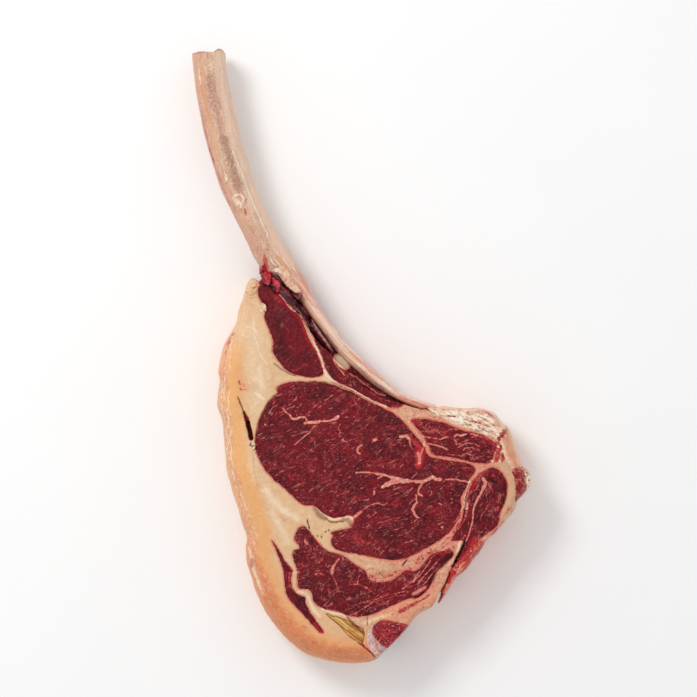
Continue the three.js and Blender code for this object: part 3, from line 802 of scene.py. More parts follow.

# %% [markdown]
# ## Seams and stains
#
# What makes this steak this steak is drawn on the face, as a painter would: each
# stroke is a width, a softness, a strength and a line of points, in millimetres. Four
# kinds are enough. Pale is fat and sinew, red is fresh bright blood, dark is dried meat
# and the painted shade of cuts, slits, pits and hollows, and warm is old yellow fat. The
# strokes become numbers on the points of the mesh, and each finish turns them into its
# own colours.

# %% Pale strokes: fat lines and sinew in the eye muscle
PALE_EYE = [
    (0.9, 0.45, 0.95, [(-51, -34), (-49, -36.5), (-46.5, -38.5)]),
    (1.5, 0.5, 1, [(-46.5, -38.5), (-45, -40.5), (-42, -40.8), (-40, -39.8)]),
    (1.2, 0.5, 0.9, [(-40, -39.8), (-37, -39.5), (-36, -41), (-35.5, -43)]),
    (1.9, 0.5, 1, [(-36.5, -43.4), (-33, -43), (-29, -42.7), (-27, -42.3)]),
    (1.3, 0.5, 0.95, [(-27, -42.3), (-25, -42), (-20, -41.8), (-18, -41)]),
    (2.3, 0.6, 1, [(-17.5, -40.8), (-15.3, -39.2)]),
    (0.7, 0.45, 0.6, [(-36.5, -39), (-33, -35.5), (-29, -31.5), (-27.5, -30.8)]),
    (0.6, 0.4, 0.5, [(-41, -38.5), (-43, -35.5), (-43.5, -33)]),
    (0.8, 0.45, 0.8, [(-29, -44.5), (-31, -46), (-34.5, -50), (-38, -53)]),
    (1.0, 0.45, 0.85, [(-34.5, -50), (-38, -53), (-41, -55.5), (-43.5, -57.5)]),
    (0.7, 0.4, 0.6, [(-34, -52), (-31.5, -53.5), (-30, -55.5), (-30.8, -57.5)]),
    (1.2, 0.5, 0.85, [(-3.5, -75.5), (1, -75.3), (5, -75.2), (10, -76.3)]),
    (1.6, 0.5, 1, [(9, -76), (15, -77), (20, -78.5), (25, -79.5), (30, -80.3), (36, -81.8)]),
    (2.2, 0.6, 1, [(35, -81.4), (40, -81.3), (43, -79.8), (46, -78.1), (48, -79.4), (51, -80.1)]),
    (1.2, 0.5, 0.9, [(55, -79.9), (60, -79.8), (64, -80.5), (70, -81.5)]),
    (3.4, 0.8, 1, [(16.5, -83.2), (20, -81.3), (25, -80.8), (30, -81)]),
    (2.2, 0.6, 1, [(13.5, -85), (17, -82.8)]),
    (0.9, 0.5, 0.8, [(2.5, -78), (6, -76.3)]),
    (1.0, 0.5, 0.85, [(10.5, -79), (14, -77.5)]),
    (1.2, 0.5, 0.95, [(39.5, -82), (37.8, -84.5), (36.6, -87.5), (37.3, -89.3), (39.5, -90.5)]),
    (1.1, 0.5, 0.85, [(35.3, -90), (35.5, -93), (36, -94.5), (34.4, -96.5)]),
    (1.8, 0.5, 0.9, [(34.4, -96.5), (33.2, -99), (34, -102), (36.5, -104.5)]),
    (0.9, 0.6, 0.45, [(40, -109), (38, -114), (36.5, -120)]),
    (1.8, 0.5, 0.95, [(25, -52.3), (29, -51.6), (31, -54)]),
    (1.0, 0.5, 0.8, [(31, -54), (31.5, -58), (33, -60.5)]),
    (2.0, 0.7, 0.85, [(36.5, -63), (37.5, -66.5), (36.8, -70)]),
    (1.1, 0.5, 0.8, [(38.6, -63), (40, -58.5), (40.2, -57)]),
    (0.8, 0.5, 0.75, [(-6, -106), (-5, -104), (-2, -101.5), (2, -98.5)]),
    (1.1, 0.5, 0.8, [(2, -98.5), (6, -96.3), (10, -95.4), (13, -96), (15, -96.6)]),
    (1.0, 0.5, 0.75, [(5, -104.6), (7, -103.3), (9.6, -101.2), (8.4, -100.6)]),
    (0.9, 0.5, 0.6, [(10, -109), (15, -107), (20, -105.6)]),
    (0.6, 0.4, 0.5, [(-51, -56), (-56, -60)]),
    (0.7, 0.4, 0.55, [(-17, -58.5), (-20, -60.5), (-24, -64)]),
    (0.8, 0.4, 0.6, [(-33, -66.5), (-30, -68)]),
    (1.6, 0.5, 0.6, [(-30.6, -67.5), (-29, -67)]),
    (0.6, 0.4, 0.55, [(-45.5, -75), (-48, -77.5), (-46.5, -78)]),
    (0.6, 0.5, 0.4, [(-38.5, -80), (-30, -78.5), (-17, -74)]),
    (0.7, 0.4, 0.65, [(-4.5, -25), (-5, -29), (-3.5, -30.5), (-6, -32), (-9, -35), (-16, -40)]),
    (1.2, 0.5, 0.5, [(-3.5, -31), (-5, -29)]),
    (1.2, 0.45, 0.8, [(0, -57.5), (-2, -59), (-3, -62), (-1, -63.5)]),
    (0.9, 0.45, 0.7, [(-14, -44), (-15, -47), (-13.5, -49.5), (-16, -51)]),
    (1.0, 0.45, 0.7, [(-11.5, -53), (-13, -54.5), (-9.5, -55.5)]),
    (2.2, 0.7, 1, [(8.3, -54.4), (9.2, -54.1)]),
    (0.9, 0.4, 0.75, [(21.2, -83.8), (21.2, -86.6)]),
    (1.6, 0.5, 0.85, [(8, -87.4), (8, -89.4)]),
    (1.0, 0.5, 0.6, [(22, -107), (26, -106), (30, -105.5)]),
    (0.9, 0.4, 0.7, [(50, -95.5), (52, -96.5)]),
    (0.9, 0.4, 0.6, [(45, -87), (45.4, -89.5), (43.6, -90.5)]),
    (0.8, 0.4, 0.6, [(63, -93), (64, -95)]),
    (1.0, 0.5, 0.6, [(28, -121), (30.5, -120.5), (33, -119)]),
    (1.3, 0.45, 0.9, [(-62.6, -44.4), (-62.3, -44.7)]),
    (1.2, 0.45, 0.9, [(52, -111), (52.3, -111.3)]),
    (0.7, 0.4, 0.6, [(-28.5, -34), (-24, -31), (-22.5, -30.2)]),
    (0.8, 0.4, 0.5, [(3, -43), (7, -42), (9, -42.5)]),
    (0.8, 0.45, 0.55, [(12, -44.5), (15, -42.5), (18, -43)]),
    (0.7, 0.4, 0.5, [(-9, -98), (-5.5, -93), (-3, -91.5)]),
    (0.8, 0.4, 0.5, [(-12.5, -91.5), (-10, -88.8), (-8, -87.5)]),
    (0.7, 0.4, 0.5, [(17, -69.5), (22, -67.5), (26, -67)]),
    (0.7, 0.4, 0.45, [(14, -58.5), (18, -57), (23, -57.4)]),
    (0.9, 0.5, 0.5, [(46, -71.5), (49, -73), (50, -75.5)]),
    (0.8, 0.4, 0.5, [(42, -70), (44.5, -71.5)]),
    (0.8, 0.4, 0.5, [(58, -86), (61, -88), (62, -91)]),
    (0.8, 0.5, 0.5, [(41.5, -113.5), (46, -112), (50.5, -112.5)]),
]
print("pale strokes on the eye muscle:", len(PALE_EYE))

# %% [markdown]
# ## Seams in the other muscles
#
# The muscle under the backbone is the most marbled, and the sliver has hardly any fat.

# %% Pale strokes in the other muscles
PALE_MUSCLES = [
    # the lip muscle
    (1.2, 0.6, 0.4, [(-50, -6), (-46.5, -8.6), (-43, -9.5), (-39, -7.5), (-37, -5)]),
    (0.6, 0.4, 0.4, [(-52, 22.5), (-46, 14), (-43, 11)]),
    (0.6, 0.4, 0.4, [(-50, 10), (-44, 4.5), (-40, 0)]),
    (1.0, 0.5, 0.5, [(-66, 42), (-66.2, 38.5), (-63.8, 34.5)]),
    # the intercostal muscle: sinews and the double sheet above the eye
    (0.9, 0.4, 0.7, [(-54.5, 41), (-52, 38.6), (-49, 33.6), (-45, 30), (-41.5, 28.5), (-39.4, 25)]),
    (0.7, 0.4, 0.55, [(-46, 37), (-43.5, 33.5), (-40, 31), (-38, 28)]),
    (0.7, 0.4, 0.5, [(-44, 38.5), (-41, 34.5), (-38, 31.5)]),
    (1.0, 0.4, 0.5, [(-38.5, 29), (-35.8, 24.5), (-33.2, 19.8)]),
    (0.9, 0.4, 0.85, [(-19, -1), (-17.6, -5), (-14, -9), (-11, -12)]),
    (1.0, 0.4, 0.9, [(-8, -11), (-4, -13.5), (1, -17.5), (6, -21), (10, -24.2), (14.5, -25)]),
    (0.8, 0.4, 0.6, [(-12, -15), (-9, -13.5), (-9.5, -11.5)]),
    (0.7, 0.4, 0.5, [(2, -20.5), (6, -23.5), (12, -27.5), (18, -29.5)]),
    # the chine muscle
    (1.0, 0.5, 0.55, [(38, -48.9), (44.6, -48.9), (48.4, -46.6), (50.9, -50.2), (52.3, -52)]),
    (1.0, 0.5, 0.75, [(40, -52.4), (45.3, -53), (50.9, -54.2), (55.8, -52.2)]),
    (1.1, 0.5, 0.85, [(43, -56.2), (47.8, -58), (52.1, -58.7), (55.8, -60.7)]),
    (1.6, 0.5, 0.95, [(60.2, -52.2), (61.4, -50.7), (63.9, -51.5), (67.7, -50.4)]),
    (0.9, 0.4, 0.6, [(55.2, -48.9), (58, -47.6), (61.5, -47)]),
    (0.9, 0.4, 0.7, [(58, -52.4), (60.8, -55), (61.4, -57.6), (63.5, -57), (66, -55.4), (69.5, -54.4)]),
    (0.9, 0.4, 0.75, [(62.3, -59.4), (65, -57.6), (68.3, -56.5), (72.6, -56.6), (76.4, -58.4)]),
    (0.9, 0.4, 0.7, [(65.8, -61.4), (67.7, -59.4), (71.4, -59.3), (75.1, -60.9)]),
    (0.9, 0.4, 0.6, [(71.4, -53), (74.5, -51.9), (78.2, -52.4), (81.3, -54.2)]),
    (0.9, 0.4, 0.7, [(56, -63.4), (62.1, -64.3), (64.5, -64.9), (67.7, -62.7), (72, -64.4)]),
    (0.8, 0.4, 0.6, [(77, -63.2), (80.7, -62), (83.8, -62.6)]),
    (0.8, 0.4, 0.5, [(72, -66.8), (77, -66.6), (81, -67.4)]),
    (0.8, 0.4, 0.5, [(76, -55.5), (79.5, -55), (82.5, -57)]),
    (0.7, 0.4, 0.5, [(50.5, -46.2), (53.6, -47.3), (54.4, -50.4)]),
    # the side muscle
    (2.6, 0.7, 0.9, [(79, -79.6), (80, -82), (79, -85.5)]),
    (1.5, 0.5, 0.95, [(79, -85.5), (77, -89.5), (75.3, -92), (73, -97), (72, -102)]),
    (1.1, 0.5, 0.85, [(72, -102), (72, -107), (70.5, -112), (69, -117), (67.5, -120)]),
    (0.9, 0.4, 0.6, [(80.5, -80.5), (83, -84), (85.5, -88)]),
    (0.9, 0.4, 0.6, [(82.6, -95.6), (80.7, -98.7), (78.2, -102.4), (77, -106.5)]),
    (0.9, 0.4, 0.7, [(84.8, -77), (86.6, -77.8)]),
    (0.9, 0.4, 0.6, [(88.4, -78), (90, -80.4)]),
    (1.6, 0.8, 0.45, [(87.4, -94), (88.2, -97), (88, -100)]),
    (2.6, 0.7, 0.9, [(67.8, -95.4), (68, -98.6)]),
    (1.0, 0.5, 0.6, [(70.4, -88), (73.4, -86.8), (76, -83)]),
    # the cap muscle
    (1.5, 0.6, 0.75, [(-15, -131.5), (-17.5, -135), (-19.5, -138)]),
    (2.2, 0.7, 0.8, [(-18, -135.8), (-19.3, -138.6), (-19, -141)]),
    (1.0, 0.5, 0.7, [(-19, -141), (-17.5, -145), (-15.5, -149.5)]),
    (1.3, 0.5, 0.6, [(-30, -141.3), (-27, -140.6), (-24, -142)]),
    (1.1, 0.5, 0.6, [(-7.5, -148), (-3, -147.6), (2, -149.5), (7, -153), (9, -155)]),
    (1.2, 0.5, 0.65, [(-2.8, -148), (-2.2, -144.4), (-1, -141.5)]),
    (0.9, 0.5, 0.5, [(10, -144.6), (10, -148), (7.5, -151)]),
    (0.9, 0.5, 0.5, [(15.5, -147), (15.2, -150.5)]),
    (0.9, 0.4, 0.6, [(-8, -168), (-2, -165.5), (4, -161.5), (7, -159.5), (12, -156), (17, -153.5)]),
    (0.8, 0.4, 0.55, [(2, -163), (8, -159.8), (14, -157.2), (22, -155.6), (29, -154.6)]),
    (0.8, 0.4, 0.45, [(-5, -167.8), (3, -164.8), (12, -160.8), (20, -157.6)]),
    (2.6, 1, 0.75, [(33, -154), (37, -152.4), (41, -149.6)]),
    (1.3, 0.6, 0.5, [(28, -148), (33, -145), (38, -142)]),
    (1.0, 0.6, 0.5, [(31, -150.5), (37, -147), (42, -143.5)]),
    (1.0, 0.5, 0.55, [(-37.4, -119.5), (-34, -121.8), (-33, -124.5)]),
    (2.2, 0.7, 0.7, [(-36.6, -119.4), (-35.6, -121.6)]),
    (0.9, 0.5, 0.55, [(-41, -128.4), (-38.6, -131), (-38, -134.4), (-41.4, -135.8)]),
    (1.2, 0.5, 0.55, [(-39.6, -134.6), (-36.6, -136.4)]),
    (0.8, 0.5, 0.5, [(-35, -126.4), (-30.8, -127.8), (-26, -127.5)]),
    (0.8, 0.5, 0.45, [(-27.4, -128.5), (-26.6, -132.5), (-27.8, -134.6)]),
    (0.8, 0.5, 0.45, [(-38, -143.6), (-34.6, -142.8), (-32.6, -144.8)]),
    (0.8, 0.5, 0.45, [(-10.6, -145), (-6.8, -142.4), (-4.6, -138.5)]),
    (0.8, 0.5, 0.45, [(-24, -158), (-21.4, -154.6), (-21, -151)]),
    (0.8, 0.5, 0.4, [(-4, -160.4), (-1.8, -156.6), (-3.6, -153)]),
    (0.8, 0.5, 0.45, [(-9, -162), (-9.8, -158.8), (-8.6, -156)]),
    # the sliver muscle
    (0.7, 0.4, 0.5, [(-48.6, -140), (-49, -146), (-47.8, -150)]),
    (0.8, 0.4, 0.45, [(-52.6, -129.5), (-51.4, -133)]),
]
print("pale strokes on the other muscles:", len(PALE_MUSCLES))

# %% [markdown]
# ## White on the fat
#
# Fat is palest beside the muscles and where a sheet of sinew lies on it.

# %% Pale strokes on the fat: sinews, sheets and the white of the fat beside the muscles
PALE_FAT = [
    (1.3, 0.6, 1, [(-39.2, 27.4), (-36, 22), (-33.4, 16), (-31, 9.6), (-28.5, 4), (-27, -1), (-25, -7)]),
    (2.0, 0.8, 0.7, [(-24, -9), (-22.5, -12), (-20, -14.5)]),
    (0.9, 0.4, 1, [(-24, -9.5), (-20, -15), (-13, -18.4), (-5, -22.4), (3, -26.8), (10, -30.6), (16, -33)]),
    (1.0, 0.5, 0.8, [(-30, -97.8), (-26, -101.8), (-22, -104.2), (-18, -105.9), (-12, -104.7), (-7, -104)]),
    (2.2, 1, 0.9, [(-7.4, -106), (-4, -103.6), (-0.4, -100.8)]),
    (0.6, 0.5, 1, [(-74.6, 19.4), (-71, 18.4), (-67.6, 15.6)]),
    (0.6, 0.4, 0.9, [(-77.4, 14), (-75.6, 12.6)]),
    (0.7, 0.4, 1.1, [(-69.4, -24.2), (-66.4, -25.4), (-62.8, -27.6)]),
    (0.5, 0.4, 0.8, [(-70, 26), (-69, 12), (-66, 2), (-61, -6)]),
    (2.6, 1.2, 0.5, [(-41, -140), (-46.3, -141), (-46.6, -148), (-43, -152.6),
        (-37.5, -153.2), (-33.6, -157.4)]),
    (2.0, 1, 0.5, [(-33.6, -157.4), (-31.6, -163.4), (-27, -168.6)]),
    (1.2, 0.6, 0.7, [(-26, -163.4), (-20, -166.2), (-13, -167.4), (-9, -169.6)]),
    (1.0, 0.5, 0.7, [(-67.5, -25.5), (-65.5, -27), (-64, -28)]),
    (5, 3, 0.45, [(-62, -87), (-55, -96), (-48, -102), (-42, -105)]),
    (6, 3, 0.4, [(-66, -8), (-65, -20)]),
    (5, 3, 0.35, [(-58, -100), (-52, -112), (-48, -120)]),
    (4, 2.5, 0.3, [(-72, 12), (-71, 0), (-73, -10)]),
    (5, 3, 0.4, [(-4, -116), (0, -120)]),
    (3, 2, 0.4, [(3, -136), (10, -136.4), (18, -138)]),
    (3, 2, 0.4, [(50, -128), (56, -124), (60, -121)]),
    (1.6, 0.8, 0.6, [(70, -50), (76, -51.6), (82, -54.2), (87, -58.4)]),
    (1.5, 0.6, 0.6, [(62, -113), (66.4, -106), (68.8, -99)]),
    (3, 1.2, 0.5, [(2, -173), (10, -170), (20, -166.6)]),
    (0.8, 0.4, 1, [(-71, -56.4), (-69.4, -56.6), (-69, -58.6), (-70.2, -60), (-68.8, -61.4)]),
    # paler fat at the left, and painted highlights on the wrinkles in the skin of the left edge
    (16, 10, 0.3, [(-72, 14), (-70, -6), (-68, -30)]),
    (7, 5, 0.4, [(-76, -44), (-74, -62), (-70, -80)]),
    (0.7, 0.5, 0.9, [(-85.4, -22), (-87, -26.6), (-86.2, -31), (-87.6, -36), (-86, -41), (-86.6, -46.4)]),
    (0.6, 0.4, 0.9, [(-84.6, -48), (-86, -54), (-84.8, -59.4), (-85, -66), (-83.4, -72)]),
    (0.7, 0.5, 0.8, [(-89.6, -13), (-88.4, -18.4), (-89.8, -23), (-88.6, -28.6)]),
    (0.6, 0.4, 0.8, [(-89, -42), (-87.8, -46), (-89, -50.6), (-87.4, -55.4), (-87.8, -60)]),
    (0.6, 0.4, 0.8, [(-87.6, -34), (-85.4, -35.4), (-84.6, -38.6)]),
    (0.6, 0.4, 0.8, [(-86, 8), (-87.6, 4.4), (-86.4, 0.6), (-87.6, -4)]),
    (0.6, 0.4, 0.7, [(-84.4, 10), (-85.4, 6.4), (-84.6, 2), (-86, -4), (-85.2, -10)]),
    # flakes on the skin of the foot
    (3.4, 2, 0.65, [(-73.5, -125), (-71.4, -134), (-68, -145), (-64, -154)]),
    # crumbs beside the backbone
    (0.9, 0.4, 1, [(88.2, -58.4), (88.8, -59)]),
    (1.0, 0.4, 1, [(90, -61.8), (90.6, -62.6)]),
    (1.2, 0.5, 1, [(83.6, -67.6), (84.6, -68.2)]),
    (1.0, 0.4, 1, [(89.2, -67.8), (90, -68.4)]),
    # fibres of fat in the tip of the cap muscle
    (0.7, 0.5, 1, [(37, -146.6), (42, -140.6), (49, -133.4)]),
    (0.6, 0.5, 0.9, [(40, -148), (46, -141), (52, -134.6)]),
    (0.6, 0.5, 1, [(33.4, -146.4), (39, -140), (44.6, -132.4)]),
    (0.6, 0.5, 0.9, [(45, -131), (50, -127), (55.4, -124)]),
    (0.6, 0.5, 0.9, [(26, -151), (33, -146), (38, -139)]),
    (0.5, 0.4, 0.9, [(8, -158), (18, -154.4), (28, -152.6)]),
    (0.5, 0.4, 0.8, [(-4, -161), (6, -158.6), (14, -152)]),
    (0.5, 0.4, 0.9, [(70.8, -79), (67.2, -88.6), (65.6, -98), (61, -107)]),
    (0.9, 0.5, 0.9, [(38.6, -62.4), (37.8, -66), (38.4, -69.6)]),
    # the strip left of the lower slit
    (2.0, 1.2, 0.6, [(67, -116.4), (63.4, -121.1), (62, -125.3), (59.6, -129.8), (56.8, -134.8)]),
]
print("pale strokes on the fat:", len(PALE_FAT))

# %% [markdown]
# ## Blood
#
# A fresh edge of meat is bright, and small vessels leave specks of blood in the fat.

# %% Red strokes: fresh bright edges, blood specks and vessels
RED = [
    # the bright rims of the muscles
    (3.4, 1.2, 0.85, [(-54.6, 38.4), (-51, 35), (-46.5, 30.3), (-42, 26.8)]),
    (2.0, 0.8, 1, [(-40.2, 24), (-37.6, 17), (-34.4, 10), (-31, 4.5), (-28.6, 0.5)]),
    (1.6, 0.7, 0.6, [(-28.6, 0.5), (-26.6, -4.8), (-25.8, -9.5)]),
    (1.0, 0.6, 0.5, [(-57.4, 2), (-57, 10), (-60, 19)]),
    (1.4, 0.6, 0.7, [(-55, -22), (-51, -19.4), (-46, -18), (-42, -17.6)]),
    (1.0, 0.5, 0.55, [(-68, -62), (-63, -72.6), (-56, -80.6), (-47, -88)]),
    (1.2, 0.5, 0.55, [(-47, -88.4), (-40, -94.6), (-32, -96), (-27, -99.4), (-22, -102.6), (-13, -102.4)]),
    (1.0, 0.6, 0.55, [(-12, -126.2), (8, -129.8), (26, -130.8), (38, -126), (50, -119)]),
    (1.4, 0.6, 0.6, [(52, -117.4), (58, -112), (61.6, -106.6), (64, -99)]),
    (1.3, 0.6, 0.7, [(-31, -117.6), (-27, -122.6), (-21.4, -126.8), (-12, -130.2), (-5, -135),
        (2.4, -140.4)]),
    (1.6, 0.7, 0.7, [(5, -145.2), (12, -147.2), (21, -145), (28.4, -139.6), (34.4, -140.2)]),
    (1.4, 0.7, 0.6, [(36, -139), (40, -135.6), (44.6, -130.6), (51, -127.4)]),
    (2.2, 0.8, 1, [(32.8, -42), (35.4, -42.6), (37.6, -44)]),
    (1.4, 0.7, 0.7, [(36.6, -47), (40.6, -53), (43.6, -58.4), (46.4, -63)]),
    (1.2, 0.6, 0.55, [(48, -64.2), (58, -65.8), (70, -67.8), (80, -68.8)]),
    (1.6, 0.8, 0.7, [(83, -55), (86, -58.4), (85.6, -62)]),
    (1.5, 0.7, 0.75, [(84, -73.4), (80.4, -75.2), (76.4, -78.8), (72.4, -83.6), (70, -88), (69.2, -93)]),
    (1.2, 0.6, 0.5, [(68.6, -97), (67, -104), (64.4, -110), (61, -115.4)]),
    (1.0, 0.6, 0.6, [(85.6, -112), (80, -115.8), (74, -120.4), (69, -125.6), (64, -131)]),
    (2.4, 1, 1.1, [(-30.4, -173), (-27.6, -176.6), (-25.4, -179)]),
    (1.0, 0.6, 0.6, [(-49.4, -150), (-47.2, -156), (-40, -164.8), (-33, -171.6)]),
    (1.0, 0.6, 0.5, [(-45.8, -139), (-46.2, -145), (-45, -150)]),
    # shreds at the neck
    (3.2, 1, 1, [(-63.5, 58), (-62.4, 54), (-61, 50)]),
    (2.6, 0.8, 1, [(-57.5, 49.5), (-55.4, 48), (-53, 45.4)]),
    (2.2, 0.8, 0.9, [(-50, 43.6), (-48, 42), (-46.6, 40.6)]),
    (2.0, 1, 0.6, [(-51, 41.5), (-48, 37.5)]),
    (2.0, 1, 0.7, [(-12.5, -9.5), (-10, -10.6), (-7.6, -12.4)]),
    # the vessel and its fat in the eye
    (3, 1, 1.2, [(30.6, -51.6), (33.4, -55.4), (36.4, -58.4), (40, -60)]),
    (5.6, 1.4, 1.2, [(38, -62), (37.4, -67), (37, -70.4)]),
    (3.4, 1, 1, [(14, -22.4), (22, -26.2), (29, -28.8), (36, -31.4)]),
    (2, 0.8, 1, [(36, -31.6), (42, -34), (48, -36.4)]),
    # red fibres along the web beside the side muscle
    (2.2, 1.2, 0.7, [(70.6, -78), (67.4, -88), (66, -97), (62.4, -106)]),
    (2.2, 1.2, 0.6, [(63, -108), (58.6, -115), (53, -121)]),
    (3.2, 1.8, 0.3, [(-41, -140), (-46.3, -141), (-46.6, -148), (-43, -152.6),
        (-37.5, -153.2), (-33.6, -157.4)]),
    (1.6, 0.8, 0.9, [(-3, -184), (0.6, -187), (5.4, -191.6), (9.3, -195.5)]),
    (9, 5, 0.3, [(12, -167), (22, -164), (34, -158), (46, -150)]),
    (2.4, 1.4, 0.6, [(8, -184), (10, -188.6), (13, -191.6)]),
    (1.6, 0.8, 0.7, [(-8, -111.6), (-5.4, -107.6), (-2.4, -104)]),
    # the inner side of the flap
    (4.4, 1.4, 1.1, [(73.4, -119), (70.4, -125), (66.4, -131)]),
    (2.4, 1, 1, [(64, -133.4), (61, -137.4), (59.6, -141)]),
    (1.6, 0.7, 1, [(-19.6, -43), (-18.6, -41.4), (-16.4, -41.8)]),
    (1.0, 0.5, 0.8, [(9.6, -54.8), (11.4, -54.6), (13.6, -54.4)]),
    (0.7, 0.4, 0.8, [(4, -74.4), (12, -75.4), (20, -77.2), (30, -79.2)]),
    (1.2, 0.7, 0.5, [(-2.5, -61), (-4, -57), (-1, -54.5)]),
    (3, 1.5, 0.35, [(-12, -38), (-6, -45), (2, -52)]),
    (4, 2.5, 0.3, [(-30, -62), (-24, -70), (-16, -68)]),
    (5, 3, 0.25, [(2, -60), (12, -64), (24, -62)]),
    # on the fat
    (1.3, 0.5, 1, [(-79.4, -16.4), (-79.2, -17.6)]),
    (1.0, 0.5, 0.9, [(-78.6, -21), (-77.8, -22)]),
    (8, 4, 0.25, [(-78, -15), (-76, -21)]),
    (2.2, 1.2, 0.85, [(-84, 15.4), (-86.4, 12.2), (-88, 8.4)]),
    (1.6, 1, 0.7, [(-86.4, 9), (-87.4, 4.6), (-88.8, 2)]),
    (1.4, 0.8, 0.4, [(-89.6, -4), (-90.4, -10), (-90, -15)]),
    (0.9, 0.4, 1, [(24, -166), (27, -164.6)]),
    (2.2, 0.6, 1, [(24.6, -165.4), (27.4, -164.2), (31, -161.8), (36, -159.6)]),
    (1.4, 0.5, 1, [(36, -159.6), (40, -157.3), (43.5, -154.8)]),
    (1.2, 0.5, 0.8, [(19.2, -167.6), (20.6, -167.2)]),
    (0.8, 0.4, 0.55, [(40, -160), (39.4, -163), (39, -165.4)]),
    (0.9, 0.5, 0.5, [(-5, -130), (0, -132.4), (4, -136)]),
    (0.8, 0.5, 0.6, [(3.4, -138.4), (6.3, -137.2), (9.2, -138.8), (9.4, -142), (7, -143.9), (4, -142.9)]),
    (1.0, 0.6, 0.5, [(10, -138), (12.4, -141.6), (17, -143.2), (24, -140.4)]),
    (4, 2, 0.3, [(12, -142), (20, -142.6), (26, -139)]),
    (1.6, 0.8, 0.6, [(32, -137.4), (35.4, -137)]),
    (1.0, 0.6, 0.6, [(60, -125.4), (56, -129.8), (50.6, -131)]),
    (1.2, 0.6, 0.6, [(94.4, -96.6), (95.6, -99), (93.6, -101.6)]),
    (1.6, 0.8, 0.55, [(96.6, -98), (97, -101.8)]),
    (0.9, 0.5, 0.45, [(34, -44), (38, -52), (41.6, -59.2), (44.6, -64.4)]),
    (0.9, 0.5, 0.4, [(46, -65.2), (58, -67), (70, -69.2)]),
    (0.8, 0.4, 0.8, [(-22.4, -11.4), (-18, -16.4), (-10, -20.6), (-2, -24.8), (6, -29.2), (13, -32)]),
    (1.0, 0.5, 0.5, [(-6, -106), (-5.6, -110.4), (-9, -112.4)]),
    (1.8, 0.8, 0.5, [(-9, -104), (-6.4, -107), (-6.4, -110)]),
    (4, 2.4, 0.35, [(-74, -122), (-73.4, -134), (-70, -146)]),
    (3, 2, 0.2, [(-60, 22), (-58, 8), (-55, -3)]),
    (2.6, 0.6, 1, [(-75.2, -39), (-73.6, -43.6), (-72.2, -50), (-71.2, -53.6)]),
    # the edge of the lip muscle
    (2.6, 0.9, 1, [(-55.8, 38.6), (-50.4, 35.2), (-44.6, 28.6), (-39.6, 24)]),
    # red fibres in the web between the eye and the cap
    (5, 2.5, 0.55, [(36, -133), (44, -128), (52, -124), (58, -121)]),
    (4, 2, 0.5, [(2, -141), (10, -144), (20, -142), (28, -136.4)]),
    (4, 2, 0.55, [(48, -132.6), (55, -127.6), (60, -123.4)]),
    # meat between the backbone muscle and the flank
    (3.4, 1.4, 1, [(86.4, -57), (87.6, -60.6), (88.6, -64), (87.4, -67.6)]),
    (2.4, 1, 0.9, [(90, -60), (91, -64), (91.4, -67.6)]),
    # the fibres of the side muscle beside the lower slit
    (2.8, 1, 0.9, [(81.4, -74.2), (76.6, -77), (72.8, -81.8), (70.6, -88)]),
    # the flap
    (3, 1.2, 1, [(59.4, -136.4), (57.6, -141.6), (55.8, -146.4)]),
    (3, 1.2, 0.9, [(78.6, -122.6), (76, -126), (72.6, -129.6)]),
    (2.6, 1.2, 0.9, [(69.6, -134.6), (66.8, -138.6), (64, -141)]),
    (1.2, 0.6, 0.8, [(54.6, -148.6), (51.6, -154.6), (48, -161)]),
    (2, 1, 0.8, [(88, -112), (84, -116.6), (80, -120.6)]),
]
print("red strokes:", len(RED))
